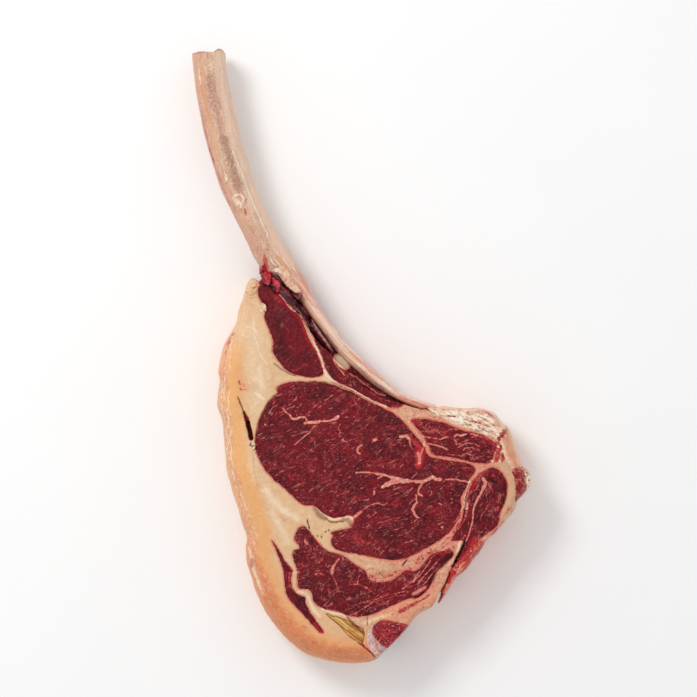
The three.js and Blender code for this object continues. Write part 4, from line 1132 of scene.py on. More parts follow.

# %% [markdown]
# ## Painted shade in slits, and dried meat
#
# Where the face is open, in slits, pits and hollows, the dark strokes are painted shade;
# where it has dried they are its own colour. Both are nearly black in meat and brown in fat.

# %% Dark strokes: painted shade in slits, pits and hollows, and dried meat
DARK = [
    (1.5, 0.6, 1, [(-53.4, 41.2), (-54.6, 40.8)]),
    (4, 2.5, 0.5, [(-62, 44), (-58, 36), (-56, 28)]),
    (2.2, 1, 0.8, [(-63, 46), (-58.6, 45.4), (-55.6, 41.6)]),
    (0.9, 0.5, 0.9, [(-66.6, 43), (-65, 37.6), (-61.6, 33.4), (-60.4, 29.4)]),
    (1.0, 0.6, 0.8, [(-56.6, -4.6), (-52, -8.4), (-46.6, -11.6), (-43, -12.6)]),
    (0.7, 0.4, 0.8, [(-69, -56), (-67.8, -47), (-64.8, -37.6), (-60, -29.6), (-56.4, -25)]),
    (1.4, 0.7, 0.7, [(32.6, -56.4), (33.4, -60)]),
    (3.0, 1, 1.1, [(14, -22.4), (22, -26.2), (29, -28.8), (36, -31.4)]),
    (1.6, 0.7, 1, [(36, -31.6), (42, -34), (48, -36.4)]),
    (1.2, 0.6, 0.6, [(-34, -16.4), (-24, -17.2), (-14, -20.8), (-6, -24)]),
    (0.5, 0.35, 0.8, [(-20, -16.8), (-12, -20), (-4, -23.6), (4, -27.8), (11, -31.2)]),
    (0.7, 0.3, 1.2, [(-35, -106), (-34.4, -108.8), (-33.6, -111.4)]),
    (0.8, 0.35, 1.2, [(29.3, -132), (28, -133.8), (26.6, -135.6)]),
    (0.9, 0.35, 1, [(-23.6, -113.8), (-23.3, -114.3)]),
    (0.9, 0.35, 1, [(-21.6, -112.8), (-21.3, -113.3)]),
    (0.9, 0.35, 0.9, [(-26.1, -116.6), (-25.7, -117.6)]),
    (0.8, 0.35, 0.9, [(-28.6, -116.3), (-28.2, -116.9)]),
    (0.7, 0.5, 0.5, [(-28, -120), (-25, -123)]),
    (0.6, 0.35, 1, [(3.6, -169), (3.9, -171)]),
    (0.6, 0.35, 1, [(3.7, -172.2), (3.7, -174.5)]),
    (0.8, 0.35, 1, [(-9.6, -169), (-7, -171.6), (-3, -174.8), (1, -177)]),
    (3.6, 1.6, 0.6, [(-30, -99.2), (-27.4, -103), (-23.8, -105)]),
    (1.0, 0.5, 0.9, [(-24, -104.6), (-20.6, -107.2), (-16.6, -108), (-11.6, -106.8)]),
    (2.6, 1.4, 0.6, [(-12, -105.6), (-8, -106.4), (-7.4, -109)]),
    (0.8, 0.4, 0.9, [(34, -157), (37, -155.6), (40.4, -153)]),
    (4, 2, 0.6, [(47.6, -141.8), (44.2, -146.4)]),
    (2.4, 1.5, 0.6, [(-71.6, -132), (-71.6, -136)]),
    (0.8, 0.4, 1, [(-71.6, -56), (-72.4, -57.8), (-70.6, -58.8)]),
    (0.8, 0.4, 0.9, [(-69, -58), (-68.4, -60), (-69.8, -61)]),
    (0.7, 0.5, 0.45, [(-70.4, -62), (-70, -66), (-69.4, -75), (-67, -85)]),
    (1.4, 0.6, 0.6, [(41, -84), (46, -84), (50, -82.6)]),
    (1.4, 0.8, 0.5, [(38, -84.4), (34, -85.6), (32, -88)]),
    (1.2, 0.7, 0.6, [(5, -99), (9, -97.8), (15, -98), (20, -98.8)]),
    (2.0, 1, 0.6, [(92.6, -82), (93.4, -88), (92.4, -94), (90.4, -99)]),
    (3, 1.8, 0.5, [(84.6, -81), (88, -85), (86, -91)]),
    (1.6, 0.9, 0.5, [(76, -95), (75, -101), (74.6, -108)]),
    (0.8, 0.5, 0.7, [(66.4, -104), (67.4, -96), (68, -90)]),
    (2.2, 1.2, 0.45, [(46, -44.6), (56, -47.4), (66, -53.4), (70, -52.4)]),
    (1.6, 0.9, 0.5, [(78, -60), (82.6, -59.6), (84.6, -61)]),
    (0.6, 0.4, 0.7, [(-76.4, 42.6), (-73.4, 41), (-70.4, 42), (-69, 44.4)]),
    (0.5, 0.4, 0.5, [(-75, 38.4), (-71.4, 37.4), (-68.4, 38.6)]),
    (3.4, 2, 0.4, [(10, -142), (14, -139.6)]),
    (5, 3, 0.35, [(-52, -78), (-46, -84), (-40, -90)]),
    (6, 4, 0.3, [(-28, -24), (-14, -28), (-6, -34)]),
    # painted shade in the slit in the left fat
    (0.7, 0.4, 1.1, [(-80.2, -26.6), (-78, -32), (-76.4, -36)]),
    (1.8, 0.4, 1.2, [(-76.2, -36.4), (-74.6, -41)]),
    (2.8, 0.5, 1.2, [(-74.4, -42), (-72.8, -48), (-71.6, -53)]),
    # painted shade in the slit at the lower right
    (1.3, 0.4, 1.3, [(66.8, -119.6), (65, -124), (63.3, -128.2), (60.6, -133), (58.8, -136)]),
    (1.0, 0.4, 1, [(57.5, -139.8), (56.3, -143.1), (54.6, -147.2), (52.1, -151.4), (50.1, -155.1)]),
    # dark patches in the side muscle
    (4, 1.8, 0.7, [(84, -80), (86.6, -82)]),
    (2.4, 1.2, 0.7, [(88.6, -77.4), (90, -79.4)]),
    # painted shade under the lobe at the neck
    (2.6, 1, 0.8, [(-58, 52.6), (-54, 49.4), (-50, 46)]),
    # the brown patch at the tip of the cap muscle
    (4, 2.6, 0.72, [(50.4, -136.4), (53.8, -132.3), (57.8, -128.4)]),
    # the cut between the foot and the gristle
    (0.9, 0.5, 0.9, [(-3, -184), (0.6, -187), (5.4, -191.6), (9.3, -195.5)]),
]
print("dark strokes:", len(DARK))

# %% [markdown]
# ## Old fat
#
# The outer fat is yellow by its distance from the edge. These strokes add the places
# where the yellow reaches further in.

# %% Warm strokes: the yellow and orange of old outer fat
WARM = [
    (12, 8, 0.4, [(-30, -168), (-18, -178), (-4, -184)]),
    (16, 7, 0.75, [(-92, -12), (-90, -40), (-88, -70), (-84, -90)]),
    (9, 5, 0.6, [(-84, -90), (-80, -106), (-76, -118)]),
    (3.4, 2, 0.6, [(-82, -40), (-81.6, -43)]),
    (3.4, 2, 0.6, [(-81.4, -47), (-81, -50)]),
    (9, 5, 0.55, [(-66, -118), (-62, -132), (-57.6, -146), (-53, -158)]),
    (14, 7, 0.7, [(-66, -158), (-58, -170), (-48, -181), (-38, -189)]),
    (12, 6, 0.8, [(-38, -190), (-26, -196), (-10, -198), (4, -196)]),
    (6, 4, 0.5, [(-20, -186), (-8, -188), (0, -190)]),
    (2, 1.2, 0.6, [(-74, 45), (-70, 46.4), (-68.4, 49)]),
    (2, 1.2, 0.5, [(-76, 40), (-72, 38.4), (-68, 38)]),
    (5, 3, 0.35, [(-78, 30), (-80, 20), (-84, 8)]),
    (4, 2.4, 0.4, [(38, -163), (44, -160), (47, -156)]),
    (2.5, 1.2, 0.6, [(31.4, -171), (36, -167)]),
    (3, 1.6, 0.5, [(52, -38), (60, -41), (66, -44)]),
    (5, 3, 0.3, [(-50, -96), (-44, -108), (-48, -118)]),
]
STROKES = {
    "pale": PALE_EYE + PALE_MUSCLES + PALE_FAT,
    "red": RED,
    "dark": DARK,
    "warm": WARM,
}
print("strokes:", {kind: len(strokes) for kind, strokes in STROKES.items()})

# %% [markdown]
# ## Strokes on the bones
#
# The backbone end and the rib have their own strokes, because a bone lies over places
# where the strokes of the meat run on below it.

# %% Strokes on the bones
CHINE_STROKES = {
    "pale": [
        (6, 3, 0.8, [(58, -37.6), (66, -38.4), (74, -39), (82, -41.6)]),
        (4.5, 2.2, 1, [(64, -42.6), (70, -44.6), (76, -47), (81, -50)]),
        (2.4, 1.2, 0.8, [(46, -36.4), (54, -38.4), (62, -41.4)]),
        (3.4, 1.6, 0.9, [(84, -47), (88, -51.4)]),
        (3.8, 1.6, 1, [(107.4, -75.6), (108.9, -79.6), (108.5, -83)]),
        (1.6, 0.8, 0.7, [(95.6, -48.6), (97, -53)]),
        (1.0, 0.5, 0.9, [(92, -60), (92.6, -61.6)]),
        (1.0, 0.5, 0.9, [(92.4, -66), (93.2, -68)]),
    ],
    "red": [
        (1.4, 1, 0.45, [(47, -34.6), (56, -34.4), (64, -36), (70, -36.6)]),
        (1.2, 0.9, 0.45, [(72, -36), (78, -35.4), (84, -37.6), (88, -41.6)]),
        (1.0, 0.5, 0.9, [(56, -38.4), (60.4, -39)]),
        (1.4, 0.8, 0.6, [(66, -41.2), (72, -42.4), (77, -43.4)]),
        (0.9, 0.5, 0.8, [(77, -39.6), (83.6, -43.6), (86, -45.4)]),
        (4.4, 2.8, 0.62, [(92.4, -48), (90.6, -51), (88.4, -54.4)]),
        (3.4, 2.2, 0.62, [(88, -56), (89.6, -59), (91, -63), (92, -67)]),
        (3, 2, 0.35, [(100, -60), (103, -68)]),
        (8, 2.4, 1, [(101.6, -76), (102.6, -84), (101.4, -92)]),
        (1.4, 0.6, 0.8, [(104, -71.6), (107, -74)]),
        (1.0, 0.5, 0.8, [(106.4, -75.4), (107, -76.2)]),
        (1.0, 0.5, 0.8, [(108.2, -79.8), (108.6, -80.6)]),
        (0.8, 0.4, 0.8, [(109.8, -81.8), (110, -82.6)]),
        (2.2, 1, 0.8, [(108.6, -85.6), (104.6, -89.6), (101, -94.6)]),
    ],
    "dark": [
        (1.0, 0.6, 0.7, [(69.6, -44.2), (72.4, -44.9)]),
        (0.8, 0.4, 0.5, [(72.6, -47.2), (76, -49)]),
        (2.4, 1.4, 0.55, [(76, -46.4), (80.4, -48), (84.6, -51.4)]),
        (0.9, 0.5, 0.7, [(79, -44.6), (84, -46.6), (87.4, -50.2)]),
        (1.2, 0.6, 0.7, [(84, -52.4), (87, -55.4)]),
        (1.6, 0.7, 1, [(100.2, -77.6), (100.6, -79)]),
        (1.4, 0.6, 1, [(102, -82), (102.4, -83.2)]),
        (2.0, 0.8, 1, [(101, -86.4), (101.8, -88)]),
        (1.2, 0.6, 1, [(104.6, -80), (105, -81)]),
        (1.2, 0.6, 0.8, [(100, -92.6), (101, -95)]),
        (1.4, 0.6, 0.9, [(100.4, -72.8), (101, -74)]),
    ],
    "warm": [
        (3, 1.6, 0.7, [(77.6, -39.6), (79.6, -42.6), (81, -44.4)]),
        (4, 3, 0.5, [(52, -36), (60, -37)]),
        (9, 3, 1, [(96, -52), (98, -60), (101.4, -68)]),
    ],
}
RIB_STROKES = {
    "pale": [
        # the crest: a painted highlight along the ridge, which the relief also raises
        (1.0, 0.6, 1, [(-83.9, 134), (-78.3, 120.6), (-72.7, 105), (-67.3, 93), (-60.5, 78.3)]),
        (0.6, 0.5, 0.9, [(-97, 131.6), (-93.4, 124), (-90.4, 118), (-88.4, 113.9)]),
        (0.6, 0.5, 0.9, [(-91.6, 132.8), (-90, 123), (-88.5, 114)]),
        (0.6, 0.5, 0.9, [(-83.9, 131.7), (-86, 122), (-88.2, 114.4)]),
        (0.6, 0.5, 0.7, [(-81.6, 124), (-84.6, 118.6), (-87.8, 115)]),
        (0.7, 0.5, 0.8, [(-64.4, 74), (-60, 70), (-57.6, 66)]),
        (5, 2, 0.7, [(-81.6, 101), (-79, 98.6)]),
        (2.4, 1.4, 0.5, [(-88, 168), (-84.6, 152), (-80.6, 138)]),
        (1.8, 0.9, 0.6, [(-106, 196), (-105.4, 184), (-104.4, 177)]),
        (1.2, 0.6, 0.6, [(-91, 190), (-90, 180), (-88.6, 170)]),
        (1.0, 0.5, 0.8, [(-88, 118), (-87.4, 114.6), (-88.6, 112.6)]),
        (1.4, 0.6, 0.9, [(-83.6, 103), (-81, 104.6), (-78, 104.4), (-76.6, 102.4),
            (-77.6, 99), (-78.6, 96)]),
        (1.2, 0.6, 0.7, [(-48, 56), (-40, 43), (-31, 30), (-20, 15), (-8, 2)]),
        (0.9, 0.5, 0.6, [(-44.6, 58), (-36, 43.6), (-27, 30), (-15, 15)]),
        (1.2, 0.6, 0.7, [(-12, 3), (2, -9.6), (12, -18), (24, -25)]),
        (1.2, 0.6, 1, [(-59.4, 63.4), (-57.6, 60.4), (-54.6, 58)]),
        (1.0, 0.5, 1, [(-57.4, 63.6), (-55, 61.4), (-53.4, 58.4)]),
        (1.0, 0.5, 0.9, [(-52, 66), (-49, 60.4), (-46, 56)]),
        (1.6, 0.8, 0.7, [(14, -17), (24, -23.6), (36, -28.6)]),
    ],
    "red": [
        (3.0, 2, 0.7, [(-106.6, 168), (-104.6, 156), (-101.4, 144), (-98.4, 133),
            (-95.6, 122), (-92.6, 112)]),
        (2.0, 1, 1, [(-99, 134), (-97.6, 130), (-96.6, 127)]),
        (4.4, 2.4, 0.55, [(-94, 120), (-90, 108), (-85.6, 99)]),
        (1.4, 0.8, 0.5, [(-107.4, 172), (-105.6, 164), (-104.8, 158)]),
        (1.0, 0.6, 0.5, [(-93, 128), (-92.6, 122)]),
        (2.0, 0.9, 0.8, [(-75.6, 95), (-75, 92)]),
        (1.4, 0.8, 0.6, [(-70.8, 82.4), (-69.4, 80.8)]),
        (1.4, 0.8, 0.5, [(-62.6, 81.6), (-62, 78.6)]),
        (1.4, 0.8, 0.5, [(-58.6, 73.4), (-57.6, 72)]),
        (1.2, 0.7, 0.6, [(-77.8, 136), (-77.4, 132.6)]),
        (1.0, 0.6, 0.5, [(-79, 129.6), (-79, 126)]),
        (1.2, 0.7, 0.5, [(-61.4, 92.4), (-60.4, 89.4)]),
        (1.6, 0.6, 0.85, [(-63.4, 66.4), (-62.4, 64)]),
        (3.4, 1.0, 0.85, [(-62.4, 63), (-62.2, 60.6), (-61.4, 57.6)]),
        (2.6, 1.4, 0.8, [(-71, 66), (-69.4, 61), (-67.6, 56), (-66, 50)]),
        (1.4, 0.8, 0.6, [(-73.4, 71), (-71.6, 67)]),
        (1.8, 1, 0.35, [(-40, 52), (-30, 36), (-18, 21), (-4, 4), (10, -9)]),
        (1.4, 0.7, 0.8, [(-36, 30), (-31, 22), (-25, 13.4), (-20, 7.4)]),
        (1.0, 0.6, 0.8, [(-23, 15), (-19, 9.4), (-15, 4)]),
        (1.6, 1, 0.6, [(20, -24.6), (32, -29.4), (44, -33)]),
        (3, 2, 0.35, [(-92, 190), (-91.4, 180), (-88, 166)]),
        (1.4, 0.8, 0.7, [(-88.8, 198), (-88.2, 194)]),
        (1.2, 0.7, 0.5, [(-104, 190), (-103.8, 182)]),
        (3, 1.6, 0.4, [(-82, 99), (-80, 96)]),
    ],
    "dark": [
        (6.5, 3.6, 0.5, [(-98.6, 184), (-96.6, 170), (-93.6, 157), (-90, 142)]),
        (7, 3.4, 0.66, [(-89.6, 142), (-86, 130), (-83, 120), (-79.4, 109)]),
        (1.4, 0.8, 0.5, [(-98.6, 179), (-97.6, 172), (-94.6, 162), (-92.6, 152)]),
        (0.9, 0.5, 0.6, [(-103.6, 170.6), (-100.6, 166.8)]),
        (0.9, 0.5, 0.5, [(-86.6, 124), (-86.4, 118), (-87, 115)]),
        (2.4, 1.6, 0.4, [(-102.6, 158), (-100.4, 150)]),
        (1.2, 0.7, 0.4, [(-109.6, 196), (-107.6, 182), (-106.2, 172)]),
        (1.0, 0.6, 0.5, [(-76.4, 100.6), (-76, 97)]),
        (3, 2, 0.4, [(-67.6, 71), (-66, 64)]),
        (2, 1.2, 0.4, [(-73, 88), (-70, 79)]),
        # painted shade along the side of the rib beside the recess
        (2.6, 1, 0.9, [(-58.6, 54), (-52.4, 49.4), (-45, 41), (-38, 30.6), (-29, 18), (-21, 7)]),
    ],
    "warm": [
        (3.4, 2, 0.6, [(-104, 194), (-103, 176), (-100.6, 160), (-97.4, 148), (-94.6, 136)]),
        (1.4, 0.8, 0.8, [(-109.4, 195), (-107.4, 181), (-106, 170)]),
        (2, 1.2, 0.7, [(-99, 158), (-98, 154.6)]),
        (5, 3, 0.5, [(-80, 102), (-74, 88), (-68, 77)]),
        (4, 2.4, 0.85, [(-53.4, 63), (-50.4, 59), (-47.6, 54.6)]),
        (2, 1.4, 0.6, [(-60.4, 74), (-58, 70)]),
        (3.4, 2, 0.6, [(-42.6, 45), (-35, 33), (-26.4, 20.6), (-16.6, 8.4), (-4, -4)]),
        (1.2, 0.7, 0.8, [(-90, 199), (-88.6, 197)]),
    ],
}
print("strokes on the rib:", {kind: len(strokes) for kind, strokes in RIB_STROKES.items()})

# %% [markdown]
# ## Painting the points
#
# Every piece gets the same numbers on its points: the four kinds of stroke, how far the
# rim of its tissue is, how far the outer edge of the steak is, and whether it lies where
# the old outer fat does. The red and dark strokes fade out down the sides. A recess is
# dark because light and air don't reach its floor, so a point far below the face counts
# as darkly painted too: this is painted shade.

# %% Painting the points
RIM_REACH = 5
SKIN_REACH = 27
MUSCLES = ("eye_muscle", "lip_muscle", "intercostal_muscle", "chine_muscle", "side_muscle",
           "cap_muscle", "sliver_muscle")
DRIFT = np.array([0.05, -0.03])       # how far the seams lean over per mm of depth
STROKE_LEVELS = (24, 40)              # heights between which red and dark strokes fade in
# painted shade: the depths below the face over which a point is painted dark, mm
SHADE_DEPTHS = (12.5, 19)            # below the face, mm
INSIDE_EDGE, INSIDE_LEVELS = (7, 10), (3, 10)       # where a hollow may be: from the edge, and up
OLD_RIGHT, OLD_FOOT, OLD_TOP = (0, 30), (146, 162), (-12, 26)   # the bounds of the old fat


def give(piece, name, values):
    """A number on every point of a piece, for its finish to read."""
    layer = piece.data.attributes.new(name, "FLOAT", "POINT")
    layer.data.foreach_set("value", np.asarray(values, np.float32))


def paint(piece, strokes, rims):
    """Puts the strokes and the distances on a piece. The rims are the edges of its tissue."""
    points = points_of(piece)
    depth = THICKNESS - points[:, 2:3]
    settled = points[:, :2] - wander(points) - depth * DRIFT
    face = Face(settled)
    near_face = ramp(points[:, 2], *STROKE_LEVELS)
    shown = {kind: face.painted(lines) for kind, lines in strokes.items()}
    shown["red"] *= near_face
    shown["dark"] *= near_face
    if strokes is CHINE_STROKES:
        shown["pale"] *= near_face
    place = Face(points)
    edge = place.distance(edge_loop, SKIN_REACH, closed=True)
    rim = np.full(len(points), float(RIM_REACH))
    for loop in rims:
        rim = np.minimum(rim, place.distance(loop, RIM_REACH, closed=True))
    # painted shade: points far below the face and away from the edge, on recess floors and slit walls, are
    # painted dark
    inside = ramp(edge, *INSIDE_EDGE) * ramp(points[:, 2], *INSIDE_LEVELS)
    shown["dark"] = np.maximum(shown["dark"], inside * ramp(depth[:, 0], *SHADE_DEPTHS))
    shown["rim"] = rim
    shown["edge"] = edge
    old_side = np.maximum(1 - ramp(points[:, 0], *OLD_RIGHT), ramp(-points[:, 1], *OLD_FOOT))
    shown["outer"] = (1 - ramp(points[:, 1], *OLD_TOP)) * old_side
    for name, values in shown.items():
        give(piece, name, values)
    return shown


for name, piece in pieces.items():
    rims = [LOOPS[muscle] for muscle in MUSCLES] if name == "fat_body" else [LOOPS[name]]
    shown = paint(piece, CHINE_STROKES if name == "chine_bone" else STROKES, rims)
    print(f"{name:20} pale on {np.mean(shown['pale'] > 0.3):.0%}, red on {np.mean(shown['red'] > 0.3):.0%}")

# %% [markdown]
# ## Relief
#
# Under raking light a cut muscle shows its bundles as low ridges, a fat seam stands a
# little proud of the shrunken meat, and slits and pits are open. The relief fades out at
# the rim of each piece, where its neighbour has none, so the two still meet.

# %% Relief on the face
BUNDLE_RELIEF = 0.22
SEAM_RELIEF = 0.25
PIT_RELIEF = 0.9
BUNDLE_SIZE, FAT_LUMP_SIZE = 2.4, 4
RELIEF_LEVELS = (33, 38)        # heights between which the relief fades in
RELIEF_RIM = (0.2, 1.4)         # and distances from the rim


def read(piece, name):
    """The numbers that were painted on a piece under a name."""
    values = np.empty(len(piece.data.vertices), np.float32)
    piece.data.attributes[name].data.foreach_get("value", values)
    return values.astype(float)


def raise_relief(piece, size):
    points = points_of(piece)
    upper = ramp(points[:, 2], *RELIEF_LEVELS)
    held = ramp(read(piece, "rim"), *RELIEF_RIM) * upper
    dark = np.clip(read(piece, "dark"), 0, 1)
    points[:, 2] += held * BUNDLE_RELIEF * lumps(points, size, seed=4, octaves=3)
    points[:, 2] += held * SEAM_RELIEF * np.clip(read(piece, "pale"), 0, 1)
    points[:, 2] -= upper * PIT_RELIEF * dark
    move_points(piece, points)


for name, piece in pieces.items():
    raise_relief(piece, BUNDLE_SIZE if name in MUSCLES else FAT_LUMP_SIZE)
tops = {name: points_of(piece)[:, 2].max() for name, piece in pieces.items()}
print("highest piece:", max(tops, key=tops.get), "at", round(max(tops.values()), 1), "mm")

# %% [markdown]
# ## The rib's surface
#
# A scraped rib is streaked along its length, so its noise is read in unbent coordinates:
# how far along the axis, how far across it and how high. They are kept on the points as
# one vector, and the finish uses them again for the colour of the streaks.

# %% The rib's surface
STREAK_LENGTH, STREAK_WIDTH, STREAK_HEIGHT = 16, 2.6, 0.28
SWELL_SIZE, SWELL_HEIGHT = 17, 0.45
CHIP_SIZE, CHIP_HEIGHT, NECK_CHIPS = 2.2, 0.16, 0.35
NECK_START, NECK_STOP = (44, 54), (68, 78)      # where in y the neck of the rib is rougher
SIDE_LEVELS = (24, 33)                          # strokes fade in between these heights
SAWN_DEPTHS = (0.1, 0.6)                        # how far down the rib the sawn face goes


def unbent(points):
    """Along the rib, across it and up, in mm, for points near its axis."""
    starts = rib_line[:-1, :2]
    spans = np.diff(rib_line[:, :2], axis=0)
    lengths = np.linalg.norm(spans, axis=1)
    nearest = np.full(len(points), np.inf)
    along = np.zeros(len(points))
    across = np.zeros(len(points))
    for start, span, length, run in zip(starts, spans, lengths, rib_run):
        away = points[:, :2] - start
        share = np.clip(away @ span / length**2, 0, 1)
        distance = np.linalg.norm(away - share[:, None] * span, axis=1)
        closer = distance < nearest
        nearest = np.where(closer, distance, nearest)
        along = np.where(closer, run + share * length, along)
        side = (away[:, 1] * span[0] - away[:, 0] * span[1]) / length
        across = np.where(closer, side, across)
    return np.column_stack([along, across, points[:, 2]])


rib = stack_rings("rib", rib_rings())
rib_points = points_of(rib)
grain = unbent(rib_points)
streaks = lumps(grain / [STREAK_LENGTH, 1, 1], STREAK_WIDTH, seed=5, octaves=3)
swell = lumps(rib_points, SWELL_SIZE, seed=6)
chips = lumps(rib_points, CHIP_SIZE, seed=7)
at_neck = ramp(rib_points[:, 1], *NECK_START) * (1 - ramp(rib_points[:, 1], *NECK_STOP))
chip_height = CHIP_HEIGHT + NECK_CHIPS * at_neck
raised = STREAK_HEIGHT * streaks + SWELL_HEIGHT * swell + chip_height * chips
rib_points += normals_of(rib) * raised[:, None]
move_points(rib, rib_points)
layer = rib.data.attributes.new("grain", "FLOAT_VECTOR", "POINT")
layer.data.foreach_set("vector", grain.astype(np.float32).ravel())
rib_face = Face(rib_points[:, :2] - wander(rib_points))
upper_side = ramp(rib_points[:, 2], *SIDE_LEVELS)
for kind, lines in RIB_STROKES.items():
    give(rib, kind, rib_face.painted(lines) * upper_side)
give(rib, "sawn", 1 - ramp(grain[:, 0], *SAWN_DEPTHS))
print("rib:", len(rib.data.vertices), "points")

# %% [markdown]
# ## Scraps at the neck
#
# Where the meat was pulled back from the bone, small soft things were left on it: red
# shreds, a lobe of peach tissue with a purple knob at its end, a pale sheet, dark strands
# over the recess, and a curl of torn membrane higher up. The dark strip on the floor of
# the recess is darkened partly as painted shade, and the dark strip in the gap beside the
# lobe is painted shade. Each is a strip skinned over oval rings. It is laid on whatever is
# under it, found by casting a ray down at every station, so nothing floats and nothing
# sinks.

# %% Laying strips on the steak
SCRAP_STEP = 0.55
SCRAP_SIDES = 18
ROUND_END = 4               # steps over which the end of a strip is rounded
SETTLED = 7                 # steps over which the ground under a strip is evened out
BEDDED = 0.28               # how far the middle of a strip lies up, as a share of its thickness
LUMP_SIZE = 2
FRILL, FRILL_SIZE = 0.3, 1.7
SKY = 90
LOWEST_GROUND = 31
UNDER_SCRAPS = ("lip_muscle", "intercostal_muscle", "fat_body", "rib_fat")


def tree_of(bodies):
    """All the bodies as one tree that rays can be cast at, in mm."""
    verts, faces = [], []
    for body in bodies:
        body.data.calc_loop_triangles()
        start = len(verts)
        verts.extend(points_of(body).tolist())
        faces.extend([start + v for v in tri.vertices] for tri in body.data.loop_triangles)
    return BVHTree.FromPolygons(verts, faces)


ground = tree_of([rib] + [pieces[name] for name in UNDER_SCRAPS])


def height_at(x, y):
    """How high the steak is at a place, in mm."""
    hit = ground.ray_cast(Vector((x, y, SKY)), Vector((0, 0, -1)))[0]
    return max(hit.z, LOWEST_GROUND) if hit else LOWEST_GROUND


def scrap(name, stations, lumpy):
    """A strip along stations of x, y, width, thickness and lift, resting on what is below."""
    line = smooth_curve(stations, SCRAP_STEP, closed=False)
    along = directions(line)
    angle = 2 * np.pi * np.arange(SCRAP_SIDES) / SCRAP_SIDES
    heights = np.array([height_at(x, y) for x, y in line[:, :2]])
    padded = np.pad(heights, SETTLED // 2, mode="edge")
    heights = np.convolve(padded, np.ones(SETTLED) / SETTLED, mode="valid")
    from_end = np.minimum(np.arange(len(line)), np.arange(len(line))[::-1])
    reach = np.minimum(1, np.sqrt(from_end / ROUND_END + 0.02))
    rings = []
    for (x, y, width, thick, lift), tangent, height, full in zip(line, along, heights, reach):
        across = np.cos(angle) * width / 2 * full
        up = np.sin(angle) * thick / 2 * full
        rings.append(np.column_stack([
            x - across * tangent[1], y + across * tangent[0],
            height + lift + thick * BEDDED + up,
        ]))
    piece = stack_rings(name, rings)
    points = points_of(piece)
    shift = sum(map(ord, name)) % 37
    points += normals_of(piece) * (lumpy * lumps(points, LUMP_SIZE, seed=shift, octaves=3))[:, None]
    points[:, :2] += FRILL * wander(points * FRILL_SIZE)
    move_points(piece, points)
    return piece


